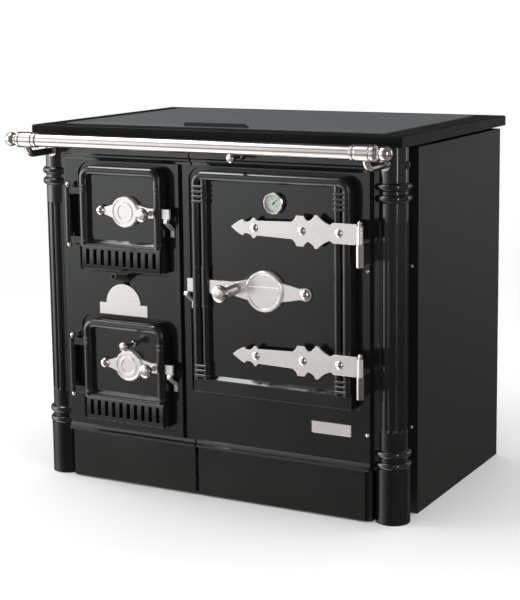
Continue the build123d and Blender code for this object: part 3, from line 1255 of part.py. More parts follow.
save("small_hinge_barrels", group(hinge_barrel(firebox_door_z), hinge_barrel(ash_door_z)))
save("small_hinge_pins", group(hinge_pin(firebox_door_z), hinge_pin(ash_door_z)))
for door_name, door_z in (("firebox", firebox_door_z), ("ash", ash_door_z)):
    has_air_hole = door_name == "ash"
    latch_height = door_z + small_latch_rise
    shield_low = door_z + small_shield_low
    save(door_name + "_door", small_door(door_z, has_air_hole))
    save(door_name + "_door_shield", small_shield(door_z, has_air_hole))
    save(door_name + "_door_seal", rope_seal(small_door_left, small_door_right, door_z, door_z + small_door_height))
    save(door_name + "_latch_bar", small_latch(door_z))
    save(door_name + "_latch_knob",
         knob(small_pivot_x + SMALL_KNOB_AT, latch_height, latch_front, SMALL_STEM, SMALL_KNOB_RADIUS))
    save(door_name + "_latch_pivot", latch_pivot(small_pivot_x, latch_height))
save("air_regulator", air_regulator())

save("oven_door", oven_door())
save("oven_door_shield", oven_shield())
save("oven_door_seal", rope_seal(oven_door_left, oven_door_right, oven_door_z, door_top))
save("oven_strap_hinges", group(*[strap_hinge(z) for z in strap_heights]))
save("oven_hinge_knuckles", group(*[fixed_knuckle(z) for z in strap_heights]))
save("oven_hinge_pins", group(*[oven_pin(z) for z in strap_heights]))
save("oven_door_rivets", group(*[rivet for z in strap_heights for rivet in strap_rivets(z)]))
save("oven_latch_bar", oven_latch())
save("oven_latch_knob", oven_latch_knob())
save("oven_latch_pivot", latch_pivot(oven_pivot_x, oven_latch_z))
save("thermometer_case", gauge_case())
save("thermometer_dial", gauge_dial())
save("thermometer_needle", gauge_needle())
save("thermometer_glass", gauge_glass())

small_keeper_x = small_pivot_x + small_latch_length - KEEPER_WIDTH * 0.8
keepers = [keeper(small_keeper_x, door_z + small_latch_rise - LATCH_HALF, FACE_SETBACK)
           for door_z in (firebox_door_z, ash_door_z)]
oven_keeper_x = oven_door_left - POCKET_LEFT + 2 + KEEPER_WIDTH / 2
keepers.append(keeper(oven_keeper_x, oven_latch_z - OVEN_LATCH_HALF, pocket_floor))
save("latch_keepers", group(*keepers))
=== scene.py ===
# %% [markdown]
# # Dressing a wood cookstove
# The solids of the stove come from its CAD source. They already have the right size, place and
# joints. This lesson gives them their finishes, adds the fine pieces that are easier to make as
# meshes, and sets up the light and the camera.

# Nothing made here may stand outside it.

import json
import math

import bmesh
import bpy
from mathutils import Matrix, Vector


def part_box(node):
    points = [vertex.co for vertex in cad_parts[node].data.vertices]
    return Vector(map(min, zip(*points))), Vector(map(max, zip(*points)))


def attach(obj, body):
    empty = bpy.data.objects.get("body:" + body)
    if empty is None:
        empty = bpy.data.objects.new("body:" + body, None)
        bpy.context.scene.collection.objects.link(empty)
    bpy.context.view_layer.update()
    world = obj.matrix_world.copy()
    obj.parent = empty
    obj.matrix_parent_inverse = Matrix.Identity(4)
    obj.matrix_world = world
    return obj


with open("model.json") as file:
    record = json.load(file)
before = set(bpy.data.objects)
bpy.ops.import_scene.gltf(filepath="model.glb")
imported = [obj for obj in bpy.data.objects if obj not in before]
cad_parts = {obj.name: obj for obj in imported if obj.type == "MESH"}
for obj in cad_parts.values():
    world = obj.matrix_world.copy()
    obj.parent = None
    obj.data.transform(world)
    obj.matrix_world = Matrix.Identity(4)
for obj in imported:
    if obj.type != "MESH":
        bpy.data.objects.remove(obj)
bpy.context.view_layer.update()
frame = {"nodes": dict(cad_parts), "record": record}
nodes = frame["nodes"]
scene = bpy.context.scene

# %% [markdown]
# ## The camera
# The photograph was taken from the front right, a little above the worktop, with a long lens, so
# that upright edges stay almost parallel. The place and the turn of the camera below were found by
# matching corners of the stove with the same corners in the photograph. The lens length follows
# from the focal length in pixels, because the long side of the picture fills the 36 mm sensor. The
# camera looks down a little, and the picture is a piece cut from under its centre line, which is
# what a small downward shift of the lens does without tilting the uprights any further.

# %% Place the camera
PICTURE_HEIGHT = 600
FOCAL_PIXELS = 1535.69
CENTRE_ROW = 240
SENSOR = 36
VIEW_ENDS = 100
camera_place = Vector((1.73595, -3.21415, 1.13234))
camera_yaw, camera_pitch, camera_roll = 0.50008, 0.15466, -0.01242

camera_data = bpy.data.cameras.new("photo_camera")
camera = bpy.data.objects.new("photo_camera", camera_data)
scene.collection.objects.link(camera)
scene.camera = camera
camera_data.sensor_width = SENSOR
camera_data.lens = FOCAL_PIXELS / PICTURE_HEIGHT * SENSOR
camera_data.shift_y = (CENTRE_ROW - PICTURE_HEIGHT / 2) / PICTURE_HEIGHT
camera_data.clip_end = VIEW_ENDS
camera.location = camera_place

look = Vector((-math.sin(camera_yaw) * math.cos(camera_pitch), math.cos(camera_yaw) * math.cos(camera_pitch),
               -math.sin(camera_pitch)))
level_right = Vector((math.cos(camera_yaw), math.sin(camera_yaw), 0))
level_up = level_right.cross(look)
right = math.cos(camera_roll) * level_right + math.sin(camera_roll) * level_up
up = -math.sin(camera_roll) * level_right + math.cos(camera_roll) * level_up
camera.rotation_mode = "QUATERNION"
camera.rotation_quaternion = Matrix((right, up, -look)).transposed().to_quaternion()
print("lens:", round(camera_data.lens, 1), "mm")

# %% [markdown]
# ## Floor and light
# A stove photographed for a catalogue stands on a white sweep. The floor here is one big flat face.
# It is solid near the stove, where it takes the shadow, and fades into the white page further out,
# so that no horizon shows. The fade is the floor's alpha, driven by the distance from the middle.
# The floor is left out of the reflections, because the room below already has a brightness for them.

# %% The floor
FLOOR_HALF = 6.0
FADE_FROM, FADE_TO = 1.5, 4.5
FLOOR_COLOUR = (0.93, 0.92, 0.91)
FLOOR_ROUGHNESS, FLOOR_GLOSS = 0.6, 0.1


def add_mesh(name, verts, faces):
    """A new object from plain lists of corners and faces."""
    mesh = bpy.data.meshes.new(name)
    mesh.from_pydata(verts, [], faces)
    mesh.update()
    obj = bpy.data.objects.new(name, mesh)
    scene.collection.objects.link(obj)
    return obj


def wire(tree, *pairs):
    """Link each pair of sockets, from its start to its end."""
    for start, end in pairs:
        tree.links.new(start, end)


floor_corners = [(x * FLOOR_HALF, y * FLOOR_HALF, 0) for x, y in ((-1, -1), (1, -1), (1, 1), (-1, 1))]
floor = add_mesh("studio_floor", floor_corners, [(0, 1, 2, 3)])
floor_paint = bpy.data.materials.new("studio_floor")
floor_paint.use_nodes = True
floor_tree = floor_paint.node_tree
floor_shader = floor_tree.nodes["Principled BSDF"]
floor_shader.inputs["Base Color"].default_value = (*FLOOR_COLOUR, 1)
floor_shader.inputs["Roughness"].default_value = FLOOR_ROUGHNESS
floor_shader.inputs["Specular IOR Level"].default_value = FLOOR_GLOSS
floor_place = floor_tree.nodes.new("ShaderNodeTexCoord")
floor_distance = floor_tree.nodes.new("ShaderNodeVectorMath")
floor_distance.operation = "LENGTH"
floor_fade = floor_tree.nodes.new("ShaderNodeMapRange")
floor_fade.interpolation_type = "SMOOTHSTEP"
for label, value in (("From Min", FADE_FROM), ("From Max", FADE_TO), ("To Min", 1.0), ("To Max", 0.0)):
    floor_fade.inputs[label].default_value = value
wire(floor_tree, (floor_place.outputs["Object"], floor_distance.inputs[0]),
     (floor_distance.outputs["Value"], floor_fade.inputs["Value"]),
     (floor_fade.outputs["Result"], floor_shader.inputs["Alpha"]))
floor.data.materials.append(floor_paint)
floor.visible_glossy = False
print("floor:", 2 * FLOOR_HALF, "m wide")

# %% [markdown]
# Four area lamps add what an even room can't give. A soft box above left draws the bright line on
# every ledge and throws the soft shadow to the right. One on the left brightens what faces it. The
# two on the right are tall and narrow, and draw the thin upright lines on the columns.

# %% The lamps
def soft_lamp(name, place, target, width, height, power, colour=(1.0, 1.0, 1.0)):
    """A rectangular lamp that faces a point."""
    data = bpy.data.lights.new(name, "AREA")
    data.shape = "RECTANGLE"
    data.size, data.size_y, data.energy, data.color = width, height, power, colour
    lamp = bpy.data.objects.new(name, data)
    lamp.location = place
    lamp.rotation_euler = (Vector(target) - Vector(place)).to_track_quat("-Z", "Y").to_euler()
    scene.collection.objects.link(lamp)
    return lamp


lamps = [soft_lamp("lamp_overhead", (-1.3, -0.5, 2.7), (0, -0.1, 0.5), 1.6, 0.7, 25, (0.97, 1.0, 1.0)),
         soft_lamp("lamp_left", (-2.7, -1.75, 1.2), (0, 0, 0.5), 1.0, 1.8, 11),
         soft_lamp("lamp_right", (2.5, -1.75, 1.2), (0.3, 0, 0.4), 0.2, 1.8, 9),
         soft_lamp("lamp_back_right", (2.4, 1.9, 1.2), (0.4, 0, 0.4), 0.22, 1.8, 5)]
print("lamps:", len(lamps))

# %% [markdown]
# Black enamel shows little of its own colour: what the eye reads is what it mirrors. So the room
# matters more than the lamps. The room that the enamel mirrors is brightest at the front left,
# darker to the right and behind, and has a dim band low down, where a real room shows its floor in
# shadow. Another dim band, well above the horizon, puts a thin grey line along every round part.
#
# A picture of a room would do this too, but two colour ramps are enough: one by the height of the
# looking direction, one by its turn. The world then gives three answers: this room to reflections,
# an even pale light to everything else, and the white page to the camera.

# %% The brightness of the room
# Height of the direction, from -1 straight down to 1 straight up, and the colour from there.
ROOM_HEIGHTS = [
    (-1.0, (1.20, 1.13, 1.08)), (-0.60, (1.50, 1.42, 1.36)), (-0.45, (0.60, 0.57, 0.54)),
    (-0.33, (0.42, 0.41, 0.38)), (-0.28, (0.36, 0.36, 0.34)), (-0.225, (0.60, 0.62, 0.59)),
    (-0.17, (0.92, 0.96, 0.92)), (-0.116, (1.42, 1.50, 1.46)), (-0.05, (1.55, 1.65, 1.60)),
    (0.08, (1.50, 1.60, 1.57)), (0.38, (1.30, 1.36, 1.34)), (0.47, (0.42, 0.42, 0.42)),
    (0.55, (0.42, 0.42, 0.42)), (0.64, (1.00, 1.03, 1.03)), (1.0, (0.62, 0.64, 0.64))]
# Turn in degrees from the front towards the right, and the share of that colour from that side.
ROOM_SIDES = [
    (-180, 0.10), (-151, 0.03), (-115, 0.10), (-85, 1.5), (-57, 2.4), (-43, 1.2), (-33, 0.9),
    (-28.6, 0.70), (-24, 0.48), (-19, 0.40), (-8, 0.18), (5, 0.12), (45, 0.18), (90, 0.2),
    (120, 0.15), (150, 0.38), (180, 0.12)]
FILL = (1.0, 1.01, 1.02)
PAGE = (1.0, 1.0, 1.0)
print("room stops:", len(ROOM_HEIGHTS), "by", len(ROOM_SIDES))

# %% The ramps of the room
world = bpy.data.worlds.new("studio_room")
scene.world = world
world.use_nodes = True
room = world.node_tree


def room_node(kind, **settings):
    """A node of the world, with some of its settings."""
    node = room.nodes.new(kind)
    for key, value in settings.items():
        setattr(node, key, value)
    return node


def room_ramp(stops, low, high):
    """A colour ramp with its stops given between low and high: its input for a value, and its colour."""
    scale = room_node("ShaderNodeMapRange")
    scale.inputs["From Min"].default_value, scale.inputs["From Max"].default_value = low, high
    ramp = room_node("ShaderNodeValToRGB")
    while len(ramp.color_ramp.elements) < len(stops):
        ramp.color_ramp.elements.new(0.5)
    for element, (value, colour) in zip(ramp.color_ramp.elements, stops):
        element.position = (value - low) / (high - low)
        element.color = (*colour, 1)
    wire(room, (scale.outputs["Result"], ramp.inputs["Fac"]))
    return scale.inputs["Value"], ramp.outputs["Color"]


height_in, height_colour = room_ramp(ROOM_HEIGHTS, -1.0, 1.0)
side_stops = [(math.radians(angle), (share, share, share)) for angle, share in ROOM_SIDES]
side_in, side_share = room_ramp(side_stops, -math.pi, math.pi)
print("world:", world.name)

# %% The three answers of the world
# The places of a Mix node's colour sockets: factor, first and second colour, and its result.
MIX_FACTOR, MIX_FIRST, MIX_SECOND, MIX_RESULT = 0, 6, 7, 2

room_light = room.nodes["Background"]
page_light, fill_light = room_node("ShaderNodeBackground"), room_node("ShaderNodeBackground")
page_light.inputs["Color"].default_value = (*PAGE, 1)
fill_light.inputs["Color"].default_value = (*FILL, 1)
room_place = room_node("ShaderNodeTexCoord")
room_split = room_node("ShaderNodeSeparateXYZ")
to_front = room_node("ShaderNodeMath", operation="MULTIPLY")
to_front.inputs[1].default_value = -1.0
turn = room_node("ShaderNodeMath", operation="ARCTAN2")
both = room_node("ShaderNodeMix", data_type="RGBA", blend_type="MULTIPLY")
both.inputs[MIX_FACTOR].default_value = 1.0
light_path = room_node("ShaderNodeLightPath")
mirrored, seen = room_node("ShaderNodeMixShader"), room_node("ShaderNodeMixShader")
wire(room, (room_place.outputs["Generated"], room_split.inputs[0]), (room_split.outputs["Z"], height_in),
     (room_split.outputs["Y"], to_front.inputs[0]), (room_split.outputs["X"], turn.inputs[0]),
     (to_front.outputs[0], turn.inputs[1]), (turn.outputs[0], side_in),
     (height_colour, both.inputs[MIX_FIRST]), (side_share, both.inputs[MIX_SECOND]),
     (both.outputs[MIX_RESULT], room_light.inputs["Color"]),
     (light_path.outputs["Is Glossy Ray"], mirrored.inputs["Fac"]),
     (fill_light.outputs[0], mirrored.inputs[1]), (room_light.outputs[0], mirrored.inputs[2]),
     (light_path.outputs["Is Camera Ray"], seen.inputs["Fac"]),
     (mirrored.outputs[0], seen.inputs[1]), (page_light.outputs[0], seen.inputs[2]),
     (seen.outputs[0], room.nodes["World Output"].inputs["Surface"]))
scene.view_settings.view_transform = "Standard"
print("world nodes:", len(room.nodes))

# %% [markdown]
# ## Effects that several finishes share
# Cast and enamelled iron is never perfectly flat: it has a fine skin like orange peel over slow,
# broad waves. This could be modelled, but at this size a bump is enough. The effect is a node group,
# built once, so each finish can use it at its own scale. It puts out only a height, and the material
# decides how strong its bump is.

# %% Node group: uneven skin
def new_group(name, inputs, outputs):
    """An empty shader node group with its named sockets: the group, its input node and its output node."""
    group = bpy.data.node_groups.new(name, "ShaderNodeTree")
    for label, value in inputs:
        socket = group.interface.new_socket(name=label, in_out="INPUT", socket_type="NodeSocketFloat")
        socket.default_value = value
    for label, kind in outputs:
        group.interface.new_socket(name=label, in_out="OUTPUT", socket_type=kind)
    return group, group.nodes.new("NodeGroupInput"), group.nodes.new("NodeGroupOutput")


VALUE, VECTOR = "NodeSocketFloat", "NodeSocketVector"
# The places of the two plain values of a Mix node.
MIX_VALUE_FIRST, MIX_VALUE_SECOND = 2, 3
SKIN_DEFAULTS = [("Fine Scale", 400.0), ("Wave Scale", 9.0), ("Wave Share", 0.5)]
skin_group, skin_in, skin_out = new_group("uneven_skin", SKIN_DEFAULTS, [("Height", VALUE)])
skin_place = skin_group.nodes.new("ShaderNodeTexCoord")
fine_noise = skin_group.nodes.new("ShaderNodeTexNoise")
wave_noise = skin_group.nodes.new("ShaderNodeTexNoise")
fine_noise.inputs["Detail"].default_value = 2.0
wave_noise.inputs["Detail"].default_value = 1.0
skin_mix = skin_group.nodes.new("ShaderNodeMix")
wire(skin_group, (skin_place.outputs["Object"], fine_noise.inputs["Vector"]),
     (skin_place.outputs["Object"], wave_noise.inputs["Vector"]),
     (skin_in.outputs["Fine Scale"], fine_noise.inputs["Scale"]),
     (skin_in.outputs["Wave Scale"], wave_noise.inputs["Scale"]),
     (skin_in.outputs["Wave Share"], skin_mix.inputs[MIX_FACTOR]),
     (fine_noise.outputs[0], skin_mix.inputs[MIX_VALUE_FIRST]),
     (wave_noise.outputs[0], skin_mix.inputs[MIX_VALUE_SECOND]),
     (skin_mix.outputs[0], skin_out.inputs["Height"]))
print("group:", skin_group.name)

# %% [markdown]
# The gloss of a stove is a little duller where hands and cloths have been. Painting a map of that
# would need an image, so a soft, cloudy noise stands for it. The two ends of the range say how much
# of the surface is marked and how sharp the borders are.

# %% Node group: handling marks
MARKS_DEFAULTS = [("Scale", 6.0), ("From", 0.4), ("To", 0.65)]
handled_group, handled_in, handled_out = new_group("handling_marks", MARKS_DEFAULTS, [("Mask", VALUE)])
handled_place = handled_group.nodes.new("ShaderNodeTexCoord")
handled_noise = handled_group.nodes.new("ShaderNodeTexNoise")
handled_noise.inputs["Detail"].default_value = 5.0
handled_noise.inputs["Roughness"].default_value = 0.65
handled_range = handled_group.nodes.new("ShaderNodeMapRange")
wire(handled_group, (handled_place.outputs["Object"], handled_noise.inputs["Vector"]),
     (handled_in.outputs["Scale"], handled_noise.inputs["Scale"]),
     (handled_noise.outputs[0], handled_range.inputs["Value"]),
     (handled_in.outputs["From"], handled_range.inputs["From Min"]),
     (handled_in.outputs["To"], handled_range.inputs["From Max"]),
     (handled_range.outputs["Result"], handled_out.inputs["Mask"]))
print("group:", handled_group.name)

# %% [markdown]
# No edge of a casting is sharp: enamel and plating run round it and catch the light. The solids must
# stay as they are, so the edges are rounded in the shader. The Bevel node gives a normal that bends
# near an edge, and where it departs from the true normal, there is an edge, which gives a mask too.
# The finishes use this mask to paint their edges lighter: a painted highlight, and partly wear.

# %% Node group: soft edges
EDGE_SAMPLES = 6
EDGE_STARTS, EDGE_IS_FULL = 0.995, 0.8
SOFT_RESULTS = [("Edge", VALUE), ("Normal", VECTOR)]
soft_group, soft_in, soft_out = new_group("soft_edges", [("Radius", 0.0015)], SOFT_RESULTS)
rounded = soft_group.nodes.new("ShaderNodeBevel")
rounded.samples = EDGE_SAMPLES
true_side = soft_group.nodes.new("ShaderNodeNewGeometry")
bend = soft_group.nodes.new("ShaderNodeVectorMath")
bend.operation = "DOT_PRODUCT"
bend_range = soft_group.nodes.new("ShaderNodeMapRange")
bend_range.inputs["From Min"].default_value = EDGE_STARTS
bend_range.inputs["From Max"].default_value = EDGE_IS_FULL
wire(soft_group, (soft_in.outputs["Radius"], rounded.inputs["Radius"]),
     (rounded.outputs["Normal"], bend.inputs[0]), (true_side.outputs["Normal"], bend.inputs[1]),
     (bend.outputs["Value"], bend_range.inputs["Value"]),
     (bend_range.outputs["Result"], soft_out.inputs["Edge"]),
     (rounded.outputs["Normal"], soft_out.inputs["Normal"]))
print("group:", soft_group.name)

# %% [markdown]
# ## The finishes
# Each finish is one Principled shader. Its colour and roughness each run between two values, mixed
# by the handling marks, its edges take a lighter colour of their own, which is a painted highlight and
# partly wear, and the skin's height drives a bump on the rounded normal. Zinc sheet and ground iron
# get a noise that is stretched along one direction instead, so it reads as brush or grinding marks. One
# maker builds them all, so the cells that follow hold only the numbers that make one finish differ
# from another.

# %% The colour and the height of a finish
def finish_colour(tree, handled, soft, colour, worn, edge):
    """The finish's colour: plain and worn mixed by the marks, with lighter edges that are a painted
    highlight, and partly wear.
    """
    mix_worn, mix_edge_highlight_and_wear = tree.nodes.new("ShaderNodeMix"), tree.nodes.new("ShaderNodeMix")
    mix_worn.data_type = mix_edge_highlight_and_wear.data_type = "RGBA"
    mix_worn.inputs[MIX_FIRST].default_value = (*colour, 1)
    mix_worn.inputs[MIX_SECOND].default_value = (*worn, 1)
    # The edge colour is a painted highlight on the rounded edges, and partly wear.
    mix_edge_highlight_and_wear.inputs[MIX_SECOND].default_value = (*(edge or colour), 1)
    wire(tree, (handled.outputs["Mask"], mix_worn.inputs[MIX_FACTOR]),
         (soft.outputs["Edge"], mix_edge_highlight_and_wear.inputs[MIX_FACTOR]),
         (mix_worn.outputs[MIX_RESULT], mix_edge_highlight_and_wear.inputs[MIX_FIRST]))
    return mix_edge_highlight_and_wear.outputs[MIX_RESULT]


def finish_height(tree, skin, stretch):
    """The height for the finish's bump: the uneven skin, or streaks where it is stretched."""
    if not stretch:
        uneven = tree.nodes.new("ShaderNodeGroup")
        uneven.node_tree = skin_group
        for (label, _), value in zip(SKIN_DEFAULTS, skin):
            uneven.inputs[label].default_value = value
        return uneven.outputs["Height"]
    place = tree.nodes.new("ShaderNodeTexCoord")
    mapping = tree.nodes.new("ShaderNodeMapping")
    mapping.inputs["Scale"].default_value = stretch
    streaks = tree.nodes.new("ShaderNodeTexNoise")
    streaks.inputs["Scale"].default_value = skin[0]
    wire(tree, (place.outputs["Object"], mapping.inputs["Vector"]),
         (mapping.outputs["Vector"], streaks.inputs["Vector"]))
    return streaks.outputs[0]


print("a finish draws on", len(bpy.data.node_groups), "shared effects")

# %% The maker of finishes
finishes = {}


def make_finish(name, colour, worn, rough, metal=0.0, gloss=0.5, marks=(6.0, 0.4, 0.65),
                skin=(400.0, 9.0, 0.5), bump=(0.02, 0.001), stretch=None, edge=None, radius=0.0012):
    """A finish: rough is (plain, worn), bump is (strength, depth), radius is that of its soft edges, and edge
    is their lighter colour: a painted highlight, and partly wear.
    """
    material = bpy.data.materials.new(name)
    material.use_nodes = True
    tree = material.node_tree
    shader = tree.nodes["Principled BSDF"]
    shader.inputs["Metallic"].default_value = metal
    shader.inputs["Specular IOR Level"].default_value = gloss
    handled, soft = tree.nodes.new("ShaderNodeGroup"), tree.nodes.new("ShaderNodeGroup")
    handled.node_tree, soft.node_tree = handled_group, soft_group
    for (label, _), value in zip(MARKS_DEFAULTS, marks):
        handled.inputs[label].default_value = value
    soft.inputs["Radius"].default_value = radius
    mix_rough = tree.nodes.new("ShaderNodeMapRange")
    mix_rough.inputs["To Min"].default_value, mix_rough.inputs["To Max"].default_value = rough
    surface = tree.nodes.new("ShaderNodeBump")
    surface.inputs["Strength"].default_value, surface.inputs["Distance"].default_value = bump
    wire(tree, (finish_colour(tree, handled, soft, colour, worn, edge), shader.inputs["Base Color"]),
         (handled.outputs["Mask"], mix_rough.inputs["Value"]),
         (mix_rough.outputs["Result"], shader.inputs["Roughness"]),
         (finish_height(tree, skin, stretch), surface.inputs["Height"]),
         (soft.outputs["Normal"], surface.inputs["Normal"]),
         (surface.outputs["Normal"], shader.inputs["Normal"]))
    finishes[name] = material
    return material


print("finishes so far:", len(finishes))

# %% [markdown]
# The doors, castings, columns and drawer fronts are gloss black enamel. The worktop's frame mirrors
# much less, and reads as plain black from the front. The sheets of the sides and the back are satin:
# their reflection is blurred into one even grey. All three are almost black, and differ most in how
# much and how sharply they mirror.

# %% Enamels and sheet
# The edge colours here are lighter than the plain ones: a painted highlight on the rounded edges, and partly
# wear.
make_finish("gloss_enamel", (0.004, 0.0046, 0.0043), (0.006, 0.0067, 0.0062), (0.11, 0.17), gloss=0.75,
            skin=(220.0, 8.0, 0.7), bump=(0.05, 0.001), edge=(0.012, 0.0125, 0.012), radius=0.0016)
make_finish("top_enamel", (0.003, 0.0032, 0.0031), (0.005, 0.0053, 0.005), (0.3, 0.38), gloss=0.08,
            skin=(260.0, 10.0, 0.6), bump=(0.05, 0.001), edge=(0.02, 0.021, 0.02), radius=0.002)
make_finish("satin_panel", (0.006, 0.006, 0.0052), (0.009, 0.0091, 0.008), (0.38, 0.46), gloss=0.3,
            marks=(3.0, 0.35, 0.7), skin=(500.0, 4.0, 0.3), bump=(0.06, 0.0006), edge=(0.02, 0.02, 0.018))
print("finishes:", len(finishes))

# %% [markdown]
# The fittings are nickel plated, with a slightly pink white. The flat ones are satin. The turned
# ones were polished before plating, so they are smoother and warmer, and the long towel rail is a
# little darker again. A fully metallic flat plate would go dark wherever the room is dark, which the
# real ones don't, so the satin nickel is only three quarters metal and keeps some plain white.

# %% Nickel
# The edge colours are a brighter nickel: a painted highlight on the rounded edges, and partly wear.
make_finish("nickel", (0.89, 0.83, 0.825), (0.85, 0.785, 0.78), (0.24, 0.32), metal=0.75,
            marks=(14.0, 0.45, 0.7), skin=(300.0, 30.0, 0.6), bump=(0.015, 0.0008),
            edge=(0.98, 0.95, 0.94), radius=0.001)
make_finish("polished_nickel", (0.84, 0.765, 0.745), (0.76, 0.68, 0.65), (0.12, 0.2), metal=1.0,
            marks=(30.0, 0.45, 0.7), skin=(300.0, 30.0, 0.6), bump=(0.01, 0.0008),
            edge=(0.9, 0.84, 0.82), radius=0.0006)
make_finish("rail_nickel", (0.68, 0.62, 0.61), (0.62, 0.56, 0.55), (0.17, 0.22), metal=1.0,
            marks=(5.0, 0.45, 0.7), skin=(700.0, 12.0, 0.3), bump=(0.004, 0.0004),
            edge=(0.85, 0.82, 0.8), radius=0.0008)
print("finishes:", len(finishes))

# %% [markdown]
# The hob plate is ground iron, with fine marks along its width. The bare castings, such as the grate
# and the flue collar, are rough raw iron, a little rusty where they are worn. The oven, the ash pan
# and the drawers behind their fronts are zinc sheet.

# %% Iron and zinc
# The edge colours are lighter: a painted highlight on the rounded edges, and partly wear.
make_finish("hob_iron", (0.13, 0.133, 0.138), (0.112, 0.115, 0.12), (0.42, 0.52), metal=0.2,
            marks=(4.0, 0.35, 0.7), skin=(90.0, 1, 1), bump=(0.12, 0.0005), stretch=(1.0, 14.0, 1.0),
            edge=(0.2, 0.205, 0.21), radius=0.0015)
make_finish("raw_iron", (0.05, 0.047, 0.043), (0.09, 0.075, 0.06), (0.6, 0.8), metal=0.5,
            marks=(18.0, 0.4, 0.7), skin=(600.0, 60.0, 0.4), bump=(0.35, 0.0012),
            edge=(0.14, 0.13, 0.12), radius=0.0015)
make_finish("zinc_sheet", (0.42, 0.425, 0.43), (0.34, 0.345, 0.35), (0.35, 0.5), metal=0.9,
            marks=(25.0, 0.4, 0.6), skin=(60.0, 1, 1), bump=(0.08, 0.0004), stretch=(1.0, 1.0, 12.0),
            edge=(0.6, 0.6, 0.6), radius=0.0008)
print("finishes:", len(finishes))

# %% [markdown]
# The lip of the hob plate belongs to the same solid. Its black is painted shade, standing for the
# lip's front in shadow. Instead of cutting the solid, its colour switches to black above a height
# between the plate's face and the lip's top.

# %% The black lip of the hob
LIP_FOOT = 0.8528
# The lip's black is painted shade for its front, which stands in shadow.
LIP_PAINTED_SHADE = (0.004, 0.0042, 0.0042)
hob_tree = finishes["hob_iron"].node_tree
hob_shader = hob_tree.nodes["Principled BSDF"]
hob_colour = hob_shader.inputs["Base Color"].links[0].from_socket
lip_place = hob_tree.nodes.new("ShaderNodeTexCoord")
lip_split = hob_tree.nodes.new("ShaderNodeSeparateXYZ")
lip_above = hob_tree.nodes.new("ShaderNodeMath")
lip_above.operation = "GREATER_THAN"
lip_above.inputs[1].default_value = LIP_FOOT
lip_shade_mix = hob_tree.nodes.new("ShaderNodeMix")
lip_shade_mix.data_type = "RGBA"
lip_shade_mix.inputs[MIX_SECOND].default_value = (*LIP_PAINTED_SHADE, 1)
wire(hob_tree, (lip_place.outputs["Object"], lip_split.inputs[0]),
     (lip_split.outputs["Z"], lip_above.inputs[0]), (lip_above.outputs[0], lip_shade_mix.inputs[MIX_FACTOR]),
     (hob_colour, lip_shade_mix.inputs[MIX_FIRST]),
     (lip_shade_mix.outputs[MIX_RESULT], hob_shader.inputs["Base Color"]))
print("lip is black above", LIP_FOOT, "m")

# %% [markdown]
# The firebox is lined with pale brown brick, and the doors close on a grey rope. Both are rough, and
# their bump is strong. The thermometer has a pale green dial, a black needle and a thin clear glass.
# The glass lets light through almost without bending it, as a thin flat pane does.

# %% Brick, rope, dial and glass
THIN_GLASS_IOR = 1.02
# The brick's edge colour is lighter: a painted highlight on the rounded edges, and partly wear.
make_finish("firebrick", (0.6, 0.44, 0.3), (0.42, 0.31, 0.22), (0.85, 0.95), marks=(30.0, 0.4, 0.7),
            skin=(350.0, 40.0, 0.4), bump=(0.6, 0.002), edge=(0.66, 0.52, 0.38), radius=0.003)
make_finish("rope", (0.15, 0.145, 0.135), (0.09, 0.087, 0.08), (0.9, 0.98), marks=(120.0, 0.4, 0.6),
            skin=(500.0, 150.0, 0.5), bump=(0.8, 0.002))
make_finish("dial", (0.82, 0.88, 0.8), (0.76, 0.82, 0.74), (0.35, 0.45), marks=(40.0, 0.4, 0.7),
            skin=(900.0, 100.0, 0.5), bump=(0.02, 0.0002), radius=0.0003)
make_finish("needle", (0.02, 0.02, 0.02), (0.03, 0.03, 0.03), (0.4, 0.5), radius=0.0002)
clear_glass = make_finish("clear_glass", (0.95, 0.98, 0.96), (0.93, 0.96, 0.94), (0.02, 0.06),
                          bump=(0.005, 0.001), radius=0.0003)
glass_shader = clear_glass.node_tree.nodes["Principled BSDF"]
glass_shader.inputs["Transmission Weight"].default_value = 1.0
glass_shader.inputs["IOR"].default_value = THIN_GLASS_IOR
print("finishes:", len(finishes))

# %% [markdown]
# Every solid names the finish that it wants. The turned fittings (knobs, pivots, rivets, pins,
# knuckles, screws, the rod, the air knob and the thermometer's case) are told by the end of their
# names, and take the polished nickel.

# %% Give every solid its finish
TURNED_ENDINGS = ("_knob", "_rivets", "_pins", "_knuckles", "_pivot", "_screws", "_rod", "_regulator",
                  "_case")
for entry in frame["record"]["subparts"]:
    name, slot = entry["node"], entry["material_slot"]
    turned = slot == "nickel" and name.endswith(TURNED_ENDINGS)
    piece = nodes[name]
    piece.data.materials.clear()
    piece.data.materials.append(finishes["polished_nickel" if turned else slot])

# %% [markdown]
# ## Small castings on the columns
# Each column carries a small domed boss on its outer side, above the two rings. It could be a
# cylinder with half a sphere on it, but a half outline that is spun round its axis gives one closed,
# even mesh, and shows the small steps at its foot. The foot is sunk a little into the round shaft, so
# that no gap shows. The left boss mirrors the right one.

# %% Helpers for small pieces
MM = 0.001


def placed(x, y, z):
    """A point given in millimetres of the frame."""
    return Vector((x * MM, y * MM, z * MM))


def add_shape(name, shape, sharp_above):
    """A smooth object from a finished bmesh, with edges left sharp above an angle in degrees."""
    bmesh.ops.recalc_face_normals(shape, faces=shape.faces)
    mesh = bpy.data.meshes.new(name)
    shape.to_mesh(mesh)
    shape.free()
    mesh.polygons.foreach_set("use_smooth", [True] * len(mesh.polygons))
    mesh.set_sharp_from_angle(angle=math.radians(sharp_above))
    obj = bpy.data.objects.new(name, mesh)
    scene.collection.objects.link(obj)
    return obj


def dress(piece, body, slot, finish=None):
    """Give a new piece its finish, named by the slot unless another is given, and the body that it rides on.
    """
    piece.data.materials.clear()
    piece.data.materials.append(finishes[finish or slot])
    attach(piece, body)


print("one unit of the helpers is", MM, "m")

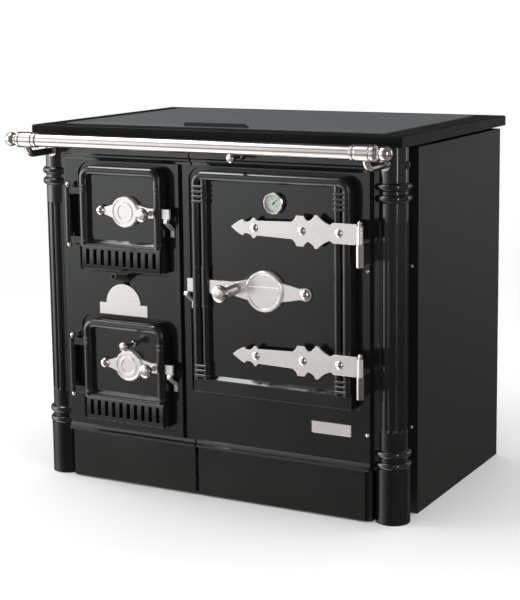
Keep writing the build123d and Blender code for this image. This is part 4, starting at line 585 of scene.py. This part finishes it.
# %% The two bosses
def spun(name, outline, centre, axis, steps=40, sharp_above=40):
    """A closed round piece. Its outline is (radius, height along the axis) in mm, from axis to axis."""
    turn_to = Vector((0, 0, 1)).rotation_difference(Vector(axis)).to_matrix()
    shape = bmesh.new()
    rows = []
    for radius, height in outline:
        row = []
        for step in range(steps if radius else 1):
            angle = 2 * math.pi * step / steps
            spot = placed(radius * math.cos(angle), radius * math.sin(angle), height)
            row.append(shape.verts.new(centre + turn_to @ spot))
        rows.append(row)
    for low, high in zip(rows, rows[1:]):
        for step in range(steps):
            after = (step + 1) % steps
            corners = (low[step % len(low)], low[after % len(low)],
                       high[after % len(high)], high[step % len(high)])
            shape.faces.new(list(dict.fromkeys(corners)))
    return add_shape(name, shape, sharp_above)


COLUMN_X, COLUMN_Y, SHAFT_RADIUS = 433.0, -236.5, 33.0
BOSS_Z, BOSS_SUNK = 786.0, 2.4
BOSS_OUTLINE = [(0, 0), (9.6, 0), (9.6, 2.6), (9.0, 3.4), (8.2, 3.6), (7.6, 4.4), (6.2, 6.0), (4.2, 7.1),
                (2, 7.7), (0, 7.9)]
for side, direction in (("left", -1), ("right", 1)):
    foot = placed(direction * (COLUMN_X + SHAFT_RADIUS - BOSS_SUNK), COLUMN_Y, BOSS_Z)
    dress(spun("column_boss_" + side, BOSS_OUTLINE, foot, (direction, 0, 0)), "stove", "gloss_enamel")
print("bosses at height:", BOSS_Z)

# %% [markdown]
# ## Sleeves on the oven door
# Where the latch passes through the twin colonnettes of the oven door, each colonnette is thicker for
# a hand's breadth, with a small ring at both ends. Only the front of this sleeve shows, and the latch
# moves behind it. So it is no full tube but a bent shell over the front of the shaft: one upright
# outline is repeated round the shaft, and the repeats are joined by faces.

# %% The sleeves
def front_shell(name, outline, x, y, z, spread, steps=24, sharp_above=50):
    """A shell round the front of an upright shaft. The outline is (radius, height) in millimetres."""
    shape = bmesh.new()
    columns = []
    for step in range(steps + 1):
        angle = -spread + 2 * spread * step / steps
        columns.append([shape.verts.new(placed(x + radius * math.sin(angle), y - radius * math.cos(angle),
                                               z + height)) for radius, height in outline])
    count = len(outline)
    for here, there in zip(columns, columns[1:]):
        for i in range(count):
            after = (i + 1) % count
            shape.faces.new((here[i], here[after], there[after], there[i]))
    shape.faces.new(columns[0])
    shape.faces.new(columns[-1][::-1])
    return add_shape(name, shape, sharp_above)


SLEEVE_X, COLONNETTE_Y, LATCH_Z = (-18.0, 3.5), -299.5, 501.0
SLEEVE_SPREAD = math.radians(74)
SLEEVE_OUTLINE = [(8.6, -47), (11.6, -47), (12.2, -45.5), (11.6, -44), (10.4, -43.4), (10.4, 41.4),
                  (11.6, 42), (12.2, 43.5), (11.6, 45), (8.6, 45)]
for number, x in enumerate(SLEEVE_X, 1):
    sleeve = front_shell(f"colonnette_sleeve_{number}", SLEEVE_OUTLINE, x, COLONNETTE_Y, LATCH_Z,
                         SLEEVE_SPREAD)
    dress(sleeve, "oven_door", "gloss_enamel")
print("sleeves:", len(SLEEVE_X))

# %% [markdown]
# ## The wound grip on the oven latch
# The stem of the oven knob carries a coil of heavy wire that keeps it cool. A coil could be spun by a
# Screw modifier, but a curve through the points of a helix, with a round section, stays easy to
# change, and can get narrower towards the knob. The wire is brown and shiny, and darker than nickel.

# %% The coil
COIL_X, COIL_FRONT, COIL_LENGTH = 79.5, -301.2, 25.0
COIL_RADIUS, COIL_NARROWS, COIL_WIRE = 10.2, 1.6, 1.7
COIL_TURNS, STEPS_A_TURN = 7, 24
COIL_STEPS = COIL_TURNS * STEPS_A_TURN
make_finish("coil_wire", (0.17, 0.125, 0.09), (0.1, 0.07, 0.05), (0.2, 0.3), metal=1.0,
            marks=(60.0, 0.4, 0.65), skin=(500.0, 60.0, 0.5), bump=(0.05, 0.0004), radius=0.0003)
coil_curve = bpy.data.curves.new("latch_coil", "CURVE")
coil_curve.dimensions = "3D"
coil_curve.bevel_depth = COIL_WIRE * MM
coil_curve.bevel_resolution = 4
coil_curve.use_fill_caps = True
coil_line = coil_curve.splines.new("POLY")
coil_line.points.add(COIL_STEPS)
for step, point in enumerate(coil_line.points):
    angle = 2 * math.pi * COIL_TURNS * step / COIL_STEPS
    radius = COIL_RADIUS - COIL_NARROWS * step / COIL_STEPS
    forward = COIL_WIRE + (COIL_LENGTH - 2 * COIL_WIRE) * step / COIL_STEPS
    spot = placed(COIL_X + radius * math.cos(angle), COIL_FRONT - forward, LATCH_Z + radius * math.sin(angle))
    point.co = (*spot, 1)
latch_coil = bpy.data.objects.new("latch_coil", coil_curve)
scene.collection.objects.link(latch_coil)
dress(latch_coil, "oven_latch", "nickel", "coil_wire")
print("coil turns:", COIL_TURNS)

# %% [markdown]
# ## The marks on the dial
# The thermometer's dial has a ring of fine marks, a long one at every hundred degrees, and plain
# numbers. They could be painted by the material, but real shapes stay crisp in a close view. So the
# marks are thin plates on the dial's face, and the numbers are text objects just in front of it. The
# scale covers the turn that the needle can make, from 105 degrees left of the top to 135 right of it.

# %% The marks
DIAL_X, DIAL_Z = 178.6, 697.4
SCALE_START, SCALE_STEP, SCALE_MARKS, LONG_EVERY = -105, 10, 25, 4
MARK_OUTER, LONG_INNER, SHORT_INNER = 16.8, 12.6, 14.6
LONG_HALF, SHORT_HALF, MARK_THICK = 0.42, 0.224, 0.12
dial_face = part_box("thermometer_dial")[0][1] / MM
BOX_FACES = ((0, 1, 2, 3), (7, 6, 5, 4), (0, 4, 5, 1), (1, 5, 6, 2), (2, 6, 7, 3), (3, 7, 4, 0))


def dial_spot(angle, radius, depth):
    """A point in front of the dial: angle in degrees clockwise from the top, radius and depth in mm."""
    clock = math.radians(angle)
    return placed(DIAL_X + radius * math.sin(clock), dial_face - depth, DIAL_Z + radius * math.cos(clock))


mark_verts, mark_faces = [], []
for mark in range(SCALE_MARKS):
    angle = SCALE_START + SCALE_STEP * mark
    inner, half = (SHORT_INNER, SHORT_HALF) if mark % LONG_EVERY else (LONG_INNER, LONG_HALF)
    base = len(mark_verts)
    for depth in (0.0, MARK_THICK):
        for radius, side in ((inner, -half), (inner, half), (MARK_OUTER, half), (MARK_OUTER, -half)):
            mark_verts.append(dial_spot(angle + math.degrees(side / radius), radius, depth))
    mark_faces += [[base + corner for corner in face] for face in BOX_FACES]
dial_marks = add_mesh("dial_marks", mark_verts, mark_faces)
dress(dial_marks, "oven_door", "needle")
print("marks:", SCALE_MARKS)

# %% The numbers
NUMBER_EVERY, DEGREES_A_LONG_MARK = 8, 100
NUMBER_RADIUS, NUMBER_SIZE, NUMBER_THICK, NUMBER_OFF = 9.4, 3.6, 0.05, 0.08
for mark in range(0, SCALE_MARKS, NUMBER_EVERY):
    words = bpy.data.curves.new(f"dial_number_{mark}", "FONT")
    words.body = str(DEGREES_A_LONG_MARK * mark // LONG_EVERY)
    words.align_x, words.align_y = "CENTER", "CENTER"
    words.size, words.extrude = NUMBER_SIZE * MM, NUMBER_THICK * MM
    dial_number = bpy.data.objects.new(f"dial_number_{mark}", words)
    dial_number.location = dial_spot(SCALE_START + SCALE_STEP * mark, NUMBER_RADIUS, NUMBER_OFF)
    dial_number.rotation_euler = (math.pi / 2, 0, 0)
    scene.collection.objects.link(dial_number)
    dress(dial_number, "oven_door", "needle")
print("numbers:", len(range(0, SCALE_MARKS, NUMBER_EVERY)))
